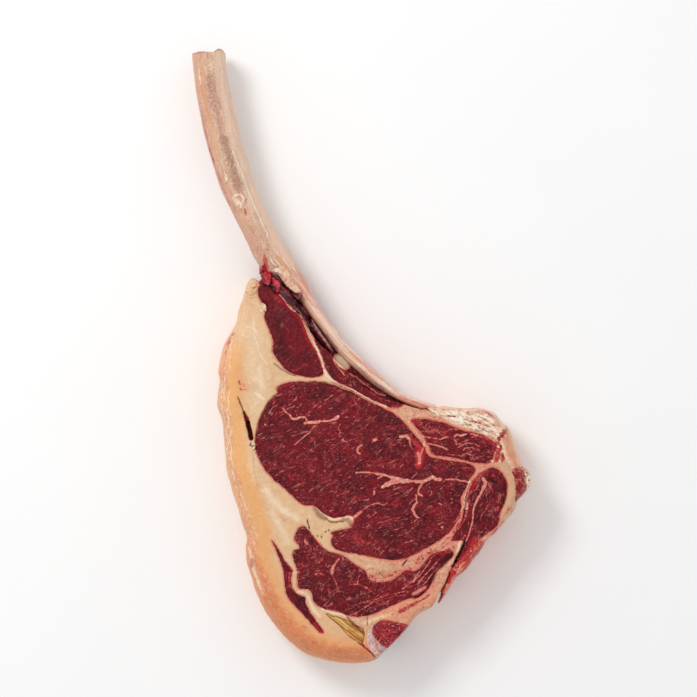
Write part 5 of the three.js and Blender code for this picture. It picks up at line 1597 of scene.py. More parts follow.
# name: slot, roughness of its lumps, and the stations: x, y, width, thickness, lift
SCRAPS = {
    "shred_top": ("meat", 0.7, [
        (-63, 60.4, 1.2, 0.8, 0), (-63, 57.6, 3.8, 1.8, 0.2), (-62, 54.6, 5.2, 2.4, 0.6),
        (-60.8, 51.6, 5, 2.4, 0.8), (-60.4, 48.8, 3.6, 2, 0.8), (-60.8, 46, 2, 1.4, 0.4)]),
    "shred_side": ("meat", 0.7, [
        (-66.4, 58.6, 0.9, 0.7, 0), (-65.4, 55.4, 2.2, 1.2, 0.1), (-64, 52, 2.6, 1.4, 0.2),
        (-63.4, 48.8, 1.6, 1, 0.1)]),
    "shred_mid": ("meat", 0.65, [
        (-58.4, 51.4, 1.2, 1, 1.4), (-56.8, 49, 3.4, 2, 2.2), (-55, 46.6, 4.4, 2.4, 2.6),
        (-54.2, 43.6, 3, 1.8, 2.2), (-54.6, 41.2, 1.4, 1, 1.4)]),
    "shred_low": ("meat", 0.65, [
        (-51.4, 45.4, 1.2, 1, 3.4), (-49.4, 43, 3, 1.8, 4), (-47.8, 40.6, 3.8, 2.2, 4.2),
        (-47, 37.8, 2.8, 1.8, 3.8), (-46.8, 35.4, 1.4, 1.2, 3)]),
    # a strip of dark meat on the floor of the recess, darkened partly as painted shade
    "dark_bed": ("meat", 0.7, [
        (-58.6, 47, 2.4, 1.6, 0), (-55, 44.4, 5, 2.2, 0), (-51, 41.4, 6, 2.4, 0.2),
        (-47.6, 37.4, 6, 2.4, 0.3), (-44, 33, 5, 2.2, 0.3), (-40.6, 28.6, 3, 1.8, 0.2)]),
    "lobe": ("fat", 0.25, [
        (-53.6, 58.6, 2.2, 1, 0), (-52.2, 56.4, 5.2, 2, 0.2), (-50.4, 53.4, 6.6, 3, 0.4),
        (-48, 49.8, 6.6, 3.4, 0.6), (-45.6, 46.6, 5.8, 3.6, 0.8), (-43, 43.8, 4.8, 3.4, 1.2),
        (-40.8, 42, 3.6, 3, 1.4), (-39.4, 40.8, 2, 2, 1.4)]),
    "knob": ("meat", 0.2, [
        (-45.6, 41.8, 1.8, 1.8, 2.4), (-43.8, 40.4, 4.2, 3.4, 3), (-41.6, 39.4, 5, 4, 3.4),
        (-39.6, 39.1, 4.4, 3.8, 3.4), (-38.2, 39.9, 2.4, 2.6, 2.8)]),
    "sheet_pale": ("fat", 0.25, [
        (-58.4, 55.2, 1.2, 0.9, 1.2), (-56.4, 55.8, 2.4, 1, 1.6), (-53.8, 55.4, 2.8, 1, 2),
        (-51.6, 54, 2, 0.9, 2.4), (-50.6, 52.6, 1, 0.8, 2.2)]),
    # painted shade: a dark strip in the gap beside the lobe
    "hollow": ("meat", 0.3, [
        (-57.6, 53.6, 1.6, 1.2, 0.4), (-55, 51.4, 3.4, 1.8, 0.6), (-51.8, 48.8, 3.6, 2, 0.8),
        (-49.4, 46.4, 2, 1.4, 0.8)]),
    "clot": ("meat", 0.35, [
        (-40.4, 34, 1.6, 1.6, 1), (-38.6, 31.6, 4, 3, 1.6), (-36.6, 29, 4.6, 3.4, 1.8),
        (-35, 26.4, 3.6, 2.8, 1.4), (-34, 24.4, 1.6, 1.6, 0.8)]),
    "clot_low": ("meat", 0.55, [
        (-33.6, 22.6, 1.6, 1.4, 1), (-30.6, 18.6, 4.2, 2.6, 1.6), (-27, 13.6, 4.6, 2.8, 1.8),
        (-23.6, 9, 4, 2.6, 1.6), (-20.6, 4.6, 2.4, 2, 1)]),
    "strand_one": ("meat", 0.25, [
        (-50.4, 39.6, 0.8, 0.8, 2.2), (-47.4, 36.4, 1.3, 1, 2.8), (-44.2, 33, 1.4, 1, 3),
        (-41.4, 28.4, 1.3, 1, 3), (-38.6, 25.4, 1.2, 1, 2.8), (-35.6, 22.6, 0.7, 0.8, 2)]),
    "strand_two": ("fat", 0.15, [
        (-45.6, 36.8, 0.7, 0.7, 4), (-43, 33, 1.5, 1, 5), (-41, 29, 1.7, 1, 5.4),
        (-38.6, 25, 1.7, 1, 5.4), (-36, 20.6, 1.5, 1, 5), (-33.6, 16.4, 0.8, 0.8, 4)]),
    "strand_three": ("meat", 0.3, [
        (-43.4, 36, 0.8, 0.8, 3.2), (-40.8, 32.4, 1.5, 1.1, 4), (-38.4, 28, 1.5, 1.1, 4),
        (-36, 23.6, 1.5, 1.1, 3.6), (-33.4, 19, 1.3, 1, 3), (-31.2, 14.6, 0.7, 0.7, 2)]),
    "strand_four": ("fat", 0.15, [
        (-32.4, 24, 0.7, 0.7, 4.6), (-30, 19.4, 1.5, 1, 5.8), (-27, 14.6, 1.7, 1, 6.2),
        (-23.8, 10, 1.6, 1, 6), (-20.6, 5.6, 1.4, 1, 5), (-18, 2.2, 0.7, 0.7, 3.6)]),
    "strand_five": ("meat", 0.25, [
        (-29.4, 20, 0.7, 0.7, 3.6), (-26.6, 15.4, 1.5, 1, 5), (-23.2, 11, 1.6, 1, 5.2),
        (-19.6, 7, 1.5, 1, 5), (-16.4, 3, 0.8, 0.7, 3.6)]),
    "curl_torn": ("bone", 0.14, [
        (-84.4, 101, 0.9, 0.6, 0), (-83.2, 103.2, 1.5, 0.9, 0.1), (-80.6, 104.6, 1.7, 1.1, 0.2),
        (-77.8, 104.2, 1.8, 1.2, 0.2), (-76.4, 102, 1.9, 1.2, 0.2), (-76.8, 99.4, 1.6, 1, 0.1),
        (-78.4, 96.8, 1, 0.7, 0)]),
    "curl_small": ("bone", 0.12, [
        (-90, 121.4, 0.6, 0.5, 0), (-88.4, 118, 1.1, 0.8, 0.1), (-87.4, 114.8, 1.4, 1, 0.2),
        (-88.4, 112.4, 1, 0.8, 0.1)]),
    "tip_fold": ("fat", 0.35, [
        (-75.4, 40.6, 1.4, 1, 0), (-73.6, 40.2, 2.6, 1.6, 0), (-71, 40.8, 3, 1.8, 0),
        (-68.8, 42.6, 2.4, 1.6, 0), (-67.8, 44.6, 1.2, 1, 0)]),
    "tip_fold_top": ("fat", 0.35, [
        (-73.8, 46, 1.2, 1, 0), (-71.8, 45.4, 2.6, 1.6, 0), (-69.4, 46, 2.8, 1.6, 0),
        (-67.8, 47.4, 1.2, 1, 0)]),
    "crumb_one": ("fat", 0.4, [
        (-64.4, 34.4, 1, 0.8, 0), (-63.2, 32.6, 2.4, 1.6, 0.1), (-62.6, 30.6, 2, 1.4, 0.1),
        (-62, 29, 1, 0.8, 0)]),
    "crumb_two": ("fat", 0.4, [
        (-65.8, 31.4, 0.8, 0.6, 0), (-64.8, 29.6, 1.8, 1.2, 0), (-63.4, 28, 1.6, 1.2, 0),
        (-62.4, 27.2, 0.8, 0.6, 0)]),
}
scraps = {name: scrap(name, stations, lumpy) for name, (_, lumpy, stations) in SCRAPS.items()}
print("scraps:", len(scraps), "pieces,", sum(len(body.data.vertices) for body in scraps.values()), "points")

# %% [markdown]
# ## Mixing finishes
#
# A finish is a little tree of shader nodes. Wired by hand it is a long list of nodes and
# links that hides what it does, so one function adds any node, and two small classes
# use it. A Wire is a socket that Python can reckon with: `1 - fat` adds a Math node. A
# Finish holds one material and its colour so far, over which it lays one coat after
# another. Colours are given as they are read off a screen, 0 to 255, and are turned into
# the linear light that materials mix in.

# %% Wires and finishes
NOISE_SCALE = 0.6           # makes the spots of a noise of size 1 about 1 mm across
SWIRL_SIZE = 22
VEIN_BEND = 1.2


def shade(red, green, blue):
    """A colour read off a screen, in the linear light that materials mix."""
    parts = (red / 255, green / 255, blue / 255)
    return tuple(p / 12.92 if p <= 0.04045 else ((p + 0.055) / 1.055) ** 2.4 for p in parts)


def plug(tree, socket, value):
    """Links a wire to a socket, or sets the socket to a plain value."""
    if isinstance(value, Wire):
        tree.links.new(value.socket, socket)
    elif socket.type == "RGBA":
        socket.default_value = (*value, 1)
    else:
        socket.default_value = value


def node(tree, kind, settings=None, inputs=None, output=0):
    """Any node: its type, its settings first, then the values or wires of its sockets."""
    made = tree.nodes.new(kind)
    for name, value in (settings or {}).items():
        setattr(made, name, value)
    for name, value in (inputs or {}).items():
        plug(tree, made.inputs[name], value)
    return Wire(tree, made.outputs[output])


class Wire:
    """A socket with a number on it, for sums written in Python."""

    def __init__(self, tree, socket):
        self.tree = tree
        self.socket = socket

    def maths(self, operation, first, second):
        return node(self.tree, "ShaderNodeMath", {"operation": operation}, {0: first, 1: second})

    def __add__(self, other):
        return self.maths("ADD", self, other)

    def __radd__(self, other):
        return self.maths("ADD", other, self)

    def __sub__(self, other):
        return self.maths("SUBTRACT", self, other)

    def __rsub__(self, other):
        return self.maths("SUBTRACT", other, self)

    def __mul__(self, other):
        return self.maths("MULTIPLY", self, other)

    def __rmul__(self, other):
        return self.maths("MULTIPLY", other, self)

    def most(self, other):
        return self.maths("MAXIMUM", self, other)

    def between(self, low, high):
        """0 at low, 1 at high, and smooth between."""
        return node(self.tree, "ShaderNodeMapRange", {"interpolation_type": "SMOOTHSTEP"},
                    {"Value": self, "From Min": low, "From Max": high}, "Result")


class Finish:
    """One material, with the place of each point in mm ready to be read."""

    def __init__(self, name):
        self.material = bpy.data.materials.new(name)
        self.material.use_nodes = True
        self.tree = self.material.node_tree
        self.shader = self.tree.nodes["Principled BSDF"]
        self.colour = None
        place = self.node("ShaderNodeTexCoord", output="Object")
        self.place = self.vectors("SCALE", place, 1 / MM)

    def node(self, kind, settings=None, inputs=None, output=0):
        return node(self.tree, kind, settings, inputs, output)

    def vectors(self, operation, first, second):
        """A sum of two vectors, or of a vector and a number if the operation is SCALE."""
        other = "Scale" if operation == "SCALE" else 1
        inputs = {0: first, other: second}
        return self.node("ShaderNodeVectorMath", {"operation": operation}, inputs, "Vector")

    def painted(self, name):
        """The number that was painted on the points under a name."""
        return self.node("ShaderNodeAttribute", {"attribute_name": name}, output="Fac")

    def noise(self, size, detail=2.0, rough=0.55, at=None, shift=0.0, bend=0.0):
        """Noise from 0 to 1 with spots about size mm across."""
        place = self.place if at is None else at
        if shift:
            place = self.vectors("ADD", place, (shift, 0.7 * shift, 1.3 * shift))
        return self.node("ShaderNodeTexNoise", None, {
            "Vector": place, "Scale": NOISE_SCALE / size, "Detail": detail,
            "Roughness": rough, "Distortion": bend,
        })

    def veins(self, size, width, at=None, shift=0.0):
        """Thin wandering lines: where a noise passes through its middle value."""
        folds = self.noise(size, 3, 0.6, at=at, shift=shift, bend=VEIN_BEND)
        return 1 - (folds - 0.5).most(0.5 - folds).between(width * 0.35, width)

    def laid(self, angle, length, width, at=None):
        """Places stretched along a direction of the face, for fibres and streaks."""
        return self.node("ShaderNodeMapping", {"vector_type": "TEXTURE"}, {
            "Vector": self.place if at is None else at,
            "Rotation": (0, 0, math.radians(angle)), "Scale": (length, width, length),
        })

    def swirled(self, reach):
        """Places pushed about by wide noise, so what is laid on them runs in curves."""
        drift = self.node("ShaderNodeTexNoise", None, {
            "Vector": self.place, "Scale": NOISE_SCALE / SWIRL_SIZE, "Detail": 1.0}, "Color")
        centred = self.vectors("SUBTRACT", drift, (0.5, 0.5, 0.5))
        return self.vectors("ADD", self.place, self.vectors("SCALE", centred, reach))

    def parts(self, vector):
        """The x, y and z of a vector as three wires."""
        return [self.node("ShaderNodeSeparateXYZ", None, {0: vector}, axis) for axis in range(3)]

    def mix(self, first, second, share):
        """From the first colour to the second."""
        sockets = {0: share, 6: first, 7: second}
        return self.node("ShaderNodeMix", {"data_type": "RGBA"}, sockets, 2)

    def coat(self, tone, share):
        """Lays a tone over the colour so far."""
        self.colour = self.mix(self.colour, tone, share)

    def relief(self, height, depth):
        """A bump whose full height is depth mm."""
        inputs = {"Height": height, "Distance": depth * MM, "Strength": 1.0}
        plug(self.tree, self.shader.inputs["Normal"], self.node("ShaderNodeBump", None, inputs))

    def surface(self, rough, **fixed):
        """Sets the shader: what varies is linked, and the rest is set on its own sockets."""
        plug(self.tree, self.shader.inputs["Base Color"], self.colour)
        plug(self.tree, self.shader.inputs["Roughness"], rough)
        for name, value in fixed.items():
            plug(self.tree, self.shader.inputs[name.replace("_", " ")], value)
        print("finish:", self.material.name, "with", len(self.tree.nodes), "nodes")
        return self.material


print("a cream read off the screen, in linear light:", [round(v, 3) for v in shade(232, 202, 160)])

# %% [markdown]
# ## Raw meat
#
# Raw beef isn't one red. Where the air has just reached it, it is bright, and elsewhere
# it goes towards purple, in patches a finger wide. Over that lie the bundles of fibres,
# lighter and darker in turn, which catch the light as short pale dashes all running one
# way, painted highlights in part, and a fine dark grain between them. Fat comes in three
# sizes: painted seams, flecks lying along the grain, and a dusting of pale specks, which
# are partly fat and partly painted glints of the wet film. A wet film gives it a soft
# shine that breaks up on the grain. The way the fibres run differs from muscle to muscle,
# so each has its own finish from one recipe.

# %% Raw meat
MEAT_DEEP = shade(48, 6, 14)
MEAT_DARK = shade(78, 10, 22)
MEAT_MID = shade(108, 14, 26)
MEAT_RED = shade(134, 16, 28)
MEAT_BRIGHT = shade(166, 22, 38)
MEAT_PALE = shade(156, 50, 58)
MEAT_DRY_AND_SHADE = shade(38, 10, 12)
FLECK = shade(204, 114, 106)
SEAM = shade(214, 128, 112)
SEAM_LIGHT = shade(238, 184, 158)
SEAM_EDGE = shade(176, 52, 56)


def meat(name, grain, swirl=7, dash=0.6, flecks=0.5, veins=0.5, pace=1.0):
    """A muscle whose fibres run at an angle of grain degrees."""
    finish = Finish(name)
    pale, red, dark, rim = (finish.painted(kind) for kind in ("pale", "red", "dark", "rim"))
    bent = finish.swirled(swirl)
    patches = finish.noise(8, 3, shift=31)
    dull = finish.noise(12, 3, shift=77).between(0.43, 0.57)
    bundles = finish.noise(1.2 * pace, 3, 0.65, at=finish.laid(grain, 2.4, 0.85, at=bent), bend=0.5)
    fibres = finish.noise(0.62, 2, 0.6, at=finish.laid(grain, 1.8, 0.7, at=bent), shift=3)
    grains = finish.noise(0.45, 1, 0.6, shift=11)
    crumbs = finish.noise(1.0, 2, 0.65, shift=53, bend=0.6)
    breaks = finish.noise(3.2, 2, shift=97)

    finish.colour = finish.mix(MEAT_DARK, MEAT_MID, patches.between(0.36, 0.5))
    finish.coat(MEAT_RED, patches.between(0.5, 0.62) * 0.6)
    finish.coat(MEAT_RED, bundles.between(0.53, 0.61) * (dash * 0.5 + 0.2))
    finish.coat(MEAT_DARK, (1 - bundles).between(0.53, 0.61) * (dash * 0.5 + 0.25))
    finish.coat(MEAT_DEEP, (1 - fibres).between(0.54, 0.62) * 0.6)
    # partly painted highlights: pale dashes on the fibres, where they catch the light
    finish.coat(MEAT_PALE, fibres.between(0.55, 0.62) * (dull * 0.65 + 0.3) * dash)
    finish.coat(MEAT_DEEP, grains.between(0.58, 0.66) * 0.6)

    frayed = (crumbs - 0.5) * 1.9 + (grains - 0.5) * 1.0
    fresh = (red * 0.9 + frayed * 0.6 + (bundles - 0.5) * 1.2).between(0.36, 0.66)
    finish.coat(MEAT_BRIGHT, fresh * red.between(0, 0.25) * 0.8)
    finish.coat(shade(206, 44, 48), (red + frayed * 0.3).between(0.95, 1.3))
    flush = (bundles * 0.5 + breaks * 0.5).between(0.56, 0.6) * dash * 0.4
    finish.coat(MEAT_BRIGHT, flush)

    run = finish.laid(grain, 1.9, 1.0, at=bent)
    shown = breaks.between(0.5, 0.57) * veins
    finish.coat(MEAT_DEEP, finish.veins(2.9 * pace, 0.03, run, 61) * shown * 0.7)
    finish.coat(MEAT_PALE, finish.veins(2.2 * pace, 0.024, run, 7) * (1 - dull) * veins * 0.8)
    finish.coat(FLECK, finish.veins(2.9 * pace, 0.024, run, 67) * shown * 0.85)
    thrown = finish.laid(grain + 6, 2.4, 0.75, at=bent)
    fleck = (finish.noise(1.1, 1, 0.5, at=thrown, shift=19) + (crumbs - 0.5) * 0.3).between(0.675, 0.71)
    # pale specks, partly fat and partly painted glints of the wet film
    specks_and_glints = finish.noise(0.7, 1, 0.5, shift=91).between(0.7, 0.74) * 0.8
    finish.coat(FLECK, fleck.most(specks_and_glints) * flecks)

    torn = frayed + (breaks - 0.5) * 1.5
    seam = pale + torn * 0.48
    near = pale.between(0.03, 0.2)
    finish.coat(SEAM_EDGE, seam.between(0.28, 0.42) * near * 0.85)
    tone = finish.mix(SEAM, SEAM_LIGHT, crumbs.between(0.5, 0.6) * pale.between(0.6, 1))
    finish.coat(tone, seam.between(0.54, 0.66) * near)
    shore = (1 - rim.between(0, 1.1)) * 0.8 + torn * 0.6
    finish.coat(SEAM_EDGE, shore.between(0.7, 0.84) * 0.75)
    finish.coat(FLECK, shore.between(0.94, 1.04) * 0.8)
    # the dark strokes: dried meat, and painted shade in slits, pits and on recess floors, all nearly black
    dried_and_shaded = (dark + frayed * 0.4).between(0.34, 0.74) * dark.between(0.03, 0.2)
    finish.coat(MEAT_DRY_AND_SHADE, dried_and_shaded * 0.9)

    finish.relief(bundles * 0.4 + crumbs * 0.35 + fibres * 0.25, 1.0)
    wet = finish.noise(4, 3, shift=23).between(0.42, 0.6)
    rough = 0.5 - wet * 0.2 + grains * 0.14
    return finish.surface(rough, Specular_IOR_Level=0.16)


FINISHES = {
    "eye_muscle": meat("eye meat", 24, swirl=18, dash=0.85, flecks=0.7, veins=0.4),
    "lip_muscle": meat("lip meat", 40, dash=0.25, flecks=0.2, veins=0.1),
    "intercostal_muscle": meat("meat between the ribs", -48, dash=0.5, flecks=0.5, veins=0.8),
    "chine_muscle": meat("meat under the backbone", 6, swirl=12, dash=0.7, flecks=0.6, veins=1, pace=0.9),
    "side_muscle": meat("side meat", 60, swirl=10, dash=0.35, flecks=0.35, veins=0.8),
    "cap_muscle": meat("cap meat", 28, swirl=16, dash=0.42, flecks=0.4, veins=0.8),
    "sliver_muscle": meat("sliver meat", -58, dash=0.15, flecks=0.1, veins=0),
}
print("finishes of muscles:", len(FINISHES))

# %% [markdown]
# ## Beef fat
#
# Hard beef fat is a waxy cream, more yellow in the old outer layer, and tan to orange
# where it has dried on the outside, in flaking layers on the face and paler and smoother
# down the sides. Beside a muscle it takes up some pink. It is faintly clouded with white
# and has long soft streaks where it was pulled off the carcass. A little light goes into
# it, which a small amount of subsurface scattering gives.

# %% Beef fat
FAT_CREAM = shade(226, 185, 143)
FAT_WHITE = shade(242, 220, 188)
FAT_SHADE = shade(216, 168, 127)
FAT_TAN = shade(210, 142, 112)
FAT_YELLOW = shade(236, 172, 108)
FAT_PEACH = shade(224, 156, 110)
FAT_CRUST = shade(224, 133, 84)
FAT_PINK = shade(212, 142, 118)
FAT_RUST = shade(196, 116, 82)
FAT_RED = shade(164, 30, 34)
FAT_STAIN_AND_SHADE = shade(136, 88, 62)
FAT_PIT_SHADE = shade(50, 28, 22)
FOOT_FROM, FOOT_TO = -92, -168      # where the outer fat turns from yellow to salmon, mm
FAT_SCATTER = 0.12


def fat(name, cream=FAT_CREAM, skin=1):
    """Fat, with a skin of 1 where its outside has dried and 0 where it lies in the meat."""
    finish = Finish(name)
    pale, red, dark, aged = (finish.painted(kind) for kind in ("pale", "red", "dark", "warm"))
    rim, outer, edge = (finish.painted(kind) for kind in ("rim", "outer", "edge"))
    outer = outer * skin
    x, y, z = finish.parts(finish.place)
    layered = finish.node("ShaderNodeCombineXYZ", None, {
        "X": edge + (finish.noise(5, 2, shift=87) - 0.5) * 9, "Y": (x + y) * 0.22, "Z": z * 0.3})
    clouds = finish.noise(11, 4, shift=13)
    wisps = finish.noise(3, 3, 0.6, shift=47, bend=0.8)
    layers = finish.noise(1.4, 3, 0.6, at=layered, shift=5, bend=0.6)
    mottle = finish.noise(1.8, 3, 0.65, shift=83, bend=0.5)
    crumbs = finish.noise(1.0, 2, 0.65, shift=29, bend=0.5)
    grains = finish.noise(0.5, 1, 0.6, shift=61)
    low = (0 - y).between(-FOOT_FROM, -FOOT_TO)

    finish.colour = finish.mix(FAT_SHADE, cream, clouds.between(0.36, 0.5) * skin + (1 - skin))
    right = x.between(-25, 30)
    finish.coat(FAT_TAN, right * (wisps.between(0.4, 0.6) * 0.3 + 0.6))
    finish.coat(FAT_WHITE, wisps.between(0.54, 0.66) * 0.25)
    finish.coat(FAT_WHITE, mottle.between(0.55, 0.66) * 0.22)
    finish.coat(FAT_SHADE, (1 - mottle).between(0.55, 0.66) * 0.35)
    finish.coat(shade(242, 206, 182), finish.veins(2, 0.034, shift=3) * right * 0.45)
    finish.coat(shade(186, 70, 66), finish.veins(2.6, 0.04, shift=35) * right * 0.5)
    ring = x.between(82, 92) * (0.7 - wisps.between(0.4, 0.6) * 0.3)
    finish.coat(shade(210, 176, 136), ring)
    finish.coat(shade(246, 224, 194), pale.between(0, 0.6) * 0.65 * (1 - right))

    near_edge = 1 - (edge + (clouds - 0.5) * 12 - low * 3).between(8, 25)
    old = (aged.most(near_edge * outer) + (wisps - 0.5) * 0.5).between(0.1, 0.9)
    finish.coat(finish.mix(FAT_YELLOW, shade(234, 166, 110), low), old * 0.85)
    wide = low.between(0.35, 1) * 7
    crust = (1 - (edge + (wisps - 0.5) * 10 + (clouds - 0.5) * 8 - wide).between(2.6, 9)) * outer
    dried = finish.mix(FAT_PEACH, FAT_CRUST, low.between(0, 0.6))
    dried = finish.mix(dried, shade(226, 156, 124), x.between(0, 16))
    finish.coat(dried, crust * 0.95)
    fold = layers.between(0.55, 0.62) * crust
    broken = mottle.between(0.44, 0.54)
    finish.coat(shade(246, 222, 196), fold * broken * (0.85 - low * 0.65))
    finish.coat(FAT_RUST, (1 - layers).between(0.54, 0.62) * crust * (0.55 - low * 0.25))
    # painted highlights: thin white lines along the creases of the dried skin
    crease_highlights = finish.veins(2.6, 0.03, shift=3) * crust
    finish.coat(shade(248, 226, 202), crease_highlights * (0.7 - low * 0.6))
    blotch = finish.noise(4.5, 3, 0.6, shift=71, bend=0.6).between(0.53, 0.63)
    finish.coat(FAT_RUST, blotch * crust * low * 0.5)
    finish.coat(shade(186, 112, 78), crust * low * crumbs.between(0.55, 0.63) * 0.35)
    finish.coat(shade(196, 140, 102), grains.between(0.56, 0.64) * (crust * 0.2 + 0.12))
    wall = 1 - z.between(22, 42)
    finish.coat(shade(230, 180, 138), wall * crust * (clouds.between(0.4, 0.6) * 0.4 + 0.35))
    finish.coat(FAT_WHITE, (1 - grains).between(0.57, 0.65) * (0.2 - low * 0.12))

    torn = (crumbs - 0.5) * 1.9 + (grains - 0.5) * 1.0
    near = 1 - rim.between(0.2, 2.0)
    flushed = finish.mix(FAT_PINK, shade(222, 106, 92), right)
    finish.coat(flushed, (near + torn * 0.35).between(0.2, 0.8) * 0.8)
    shore = (1 - rim.between(0, 1.1)) * 0.75 + torn * 0.5 + (clouds - 0.5) * 1.2
    finish.coat(shade(198, 92, 78), shore.between(0.52, 0.7) * 0.55)
    finish.coat(shade(132, 24, 32), shore.between(0.74, 0.84) * 0.85)
    finish.coat(shade(222, 146, 122), red.between(0.05, 0.5) * 0.6)
    blood = (red + torn * 0.8 + (wisps - 0.5) * 1.0).between(0.4, 0.62) * red.between(0.02, 0.25)
    clotted = finish.mix(FAT_RED, shade(214, 96, 84), (crumbs * 0.5 + mottle * 0.5).between(0.5, 0.58))
    finish.coat(clotted, blood * 0.9)
    sheet = (pale + torn * 0.5 + (wisps - 0.5) * 0.8).between(0.35, 0.65) * pale.between(0.02, 0.2)
    finish.coat(FAT_WHITE, sheet * 0.8)
    # brown from the weaker dark strokes: real stains, and painted shade at the edges of slits and on recess
    # walls
    stain_and_shade = (dark + torn * 0.25).between(0.1, 0.65) * dark.between(0.02, 0.1)
    finish.coat(finish.mix(FAT_STAIN_AND_SHADE, shade(150, 40, 36), red), stain_and_shade * 0.7)
    # painted shade: slits, pits and recess floors go nearly black, dark red where blood is painted
    pit_shade = (dark + torn * 0.2).between(0.66, 0.92)
    finish.coat(finish.mix(FAT_PIT_SHADE, shade(96, 10, 14), red.between(0.2, 0.8)), pit_shade)

    finish.relief(wisps * 0.35 + mottle * 0.3 + crumbs * 0.2 + layers * crust * 0.4, 0.9)
    rough = 0.44 + (wisps - 0.5) * 0.3 + crust * 0.12
    return finish.surface(rough, Specular_IOR_Level=0.22, Subsurface_Weight=FAT_SCATTER,
                          Subsurface_Scale=MM, Subsurface_Radius=(1.0, 0.6, 0.4))


FINISHES["fat_body"] = fat("fat")
FINISHES["rib_fat"] = fat("fat beside the rib", cream=shade(240, 216, 186), skin=0)

# %% [markdown]
# ## Flap, ligament, cartilage and the sawn bones
#
# These are small, and each has one look of its own. The flap is fat soaked with blood,
# salmon with dark red specks. The ligament is a golden, glassy band of fine strands. The
# cartilage is bluish and smooth. The two sawn bone ends are spongy: a dark red felt of
# tiny cells, each with a pale wall, which cell noise draws.

# %% Flap and ligament
def flap():
    finish = Finish("flap")
    run = finish.laid(52, 7, 1.1)
    streaks = finish.noise(1.8, 3, 0.6, at=run)
    clouds = finish.noise(4, 3, shift=17, bend=0.7)
    crumbs = finish.noise(1.0, 2, 0.65, shift=41, bend=0.5)
    pale, red, dark = (finish.painted(kind) for kind in ("pale", "red", "dark"))
    torn = (crumbs - 0.5) * 1.6 + (streaks - 0.5) * 1.6
    finish.colour = finish.mix(shade(196, 74, 58), shade(224, 124, 94), clouds.between(0.38, 0.54))
    finish.coat(shade(238, 176, 142), (streaks + (clouds - 0.5) * 0.5).between(0.53, 0.61) * 0.75)
    finish.coat(shade(170, 38, 40), (1 - streaks).between(0.54, 0.62) * 0.75)
    finish.coat(shade(172, 22, 26), (red + torn * 0.6).between(0.4, 0.64) * red.between(0.02, 0.2))
    finish.coat(shade(248, 214, 184), crumbs.between(0.6, 0.66) * 0.6)
    finish.coat(FAT_WHITE, (pale + torn * 0.4).between(0.4, 0.7) * pale.between(0.02, 0.2))
    # painted shade of the slit beside the flap, and of its deep walls
    finish.coat(shade(70, 20, 20), dark.between(0.3, 0.9))
    finish.relief(streaks * 0.6 + clouds * 0.4, 0.8)
    return finish.surface(0.4 + (clouds - 0.5) * 0.2, Specular_IOR_Level=0.28)


def ligament():
    finish = Finish("ligament")
    run = finish.laid(-38, 14, 0.8)
    strands = finish.noise(1.1, 3, 0.65, at=run, bend=0.5)
    clouds = finish.noise(2.4, 3, shift=7, bend=0.8)
    crumbs = finish.noise(1.0, 2, 0.65, shift=25)
    rim = finish.painted("rim")
    finish.colour = finish.mix(shade(176, 112, 46), shade(212, 160, 80), strands.between(0.42, 0.56))
    finish.coat(shade(238, 208, 140), strands.between(0.56, 0.63) * 0.8)
    finish.coat(shade(126, 66, 30), (1 - strands).between(0.55, 0.63) * 0.8)
    finish.coat(shade(196, 92, 44), (1 - clouds).between(0.54, 0.64) * 0.6)
    edge = (1 - rim.between(0.1, 1.3)) + (crumbs - 0.5) * 2 + (clouds - 0.5) * 2
    finish.coat(shade(130, 56, 34), edge.between(0.5, 0.8) * 0.8)
    finish.relief(strands * 0.7 + crumbs * 0.3, 0.7)
    return finish.surface(0.36 + (clouds - 0.5) * 0.2, Specular_IOR_Level=0.3)


FINISHES["side_flap"] = flap()
FINISHES["ligament"] = ligament()

# %% [markdown]
# ## Cells of spongy bone
#
# The sawn button, the knob of the backbone and the sawn end of the rib show the same
# marrow: a net of thin pale walls round dark cells.

# %% Cartilage and the sawn button of bone
def sponge(finish, cell):
    """Marrow cells: 1 on their thin walls, and the noise that mottles them."""
    warped = finish.vectors("ADD", finish.place, finish.node("ShaderNodeTexNoise", None, {
        "Vector": finish.place, "Scale": 0.5, "Detail": 2.0}, output="Color"))
    wall = finish.node("ShaderNodeTexVoronoi", {"feature": "DISTANCE_TO_EDGE"},
                       {"Vector": warped, "Scale": 1 / cell, "Randomness": 1.0}, output="Distance")
    return 1 - wall.between(0.04, 0.2), finish.noise(2.6, 3, 0.6, shift=61)


def button():
    finish = Finish("spongy bone")
    walls, mottle = sponge(finish, 0.95)
    crumbs = finish.noise(0.8, 2, 0.6, shift=43)
    rim = finish.painted("rim")
    finish.colour = finish.mix(shade(116, 14, 26), shade(192, 34, 46), mottle.between(0.38, 0.54))
    finish.coat(shade(206, 74, 84), walls * crumbs.between(0.44, 0.56) * 0.8)
    finish.coat(shade(238, 168, 160), walls * crumbs.between(0.57, 0.65) * 0.85)
    finish.coat(shade(60, 8, 14), (1 - crumbs).between(0.55, 0.64) * 0.8)
    edge = (1 - rim.between(0.2, 2.4)) + (mottle - 0.5) * 2
    finish.coat(shade(214, 96, 84), edge.between(0.6, 0.9) * 0.5)
    finish.coat(shade(214, 104, 66), finish.painted("warm").between(0.2, 0.8) * 0.8)
    finish.relief(walls * 0.7 + crumbs * 0.3, 0.7)
    return finish.surface(0.4 + mottle * 0.2, Specular_IOR_Level=0.3)


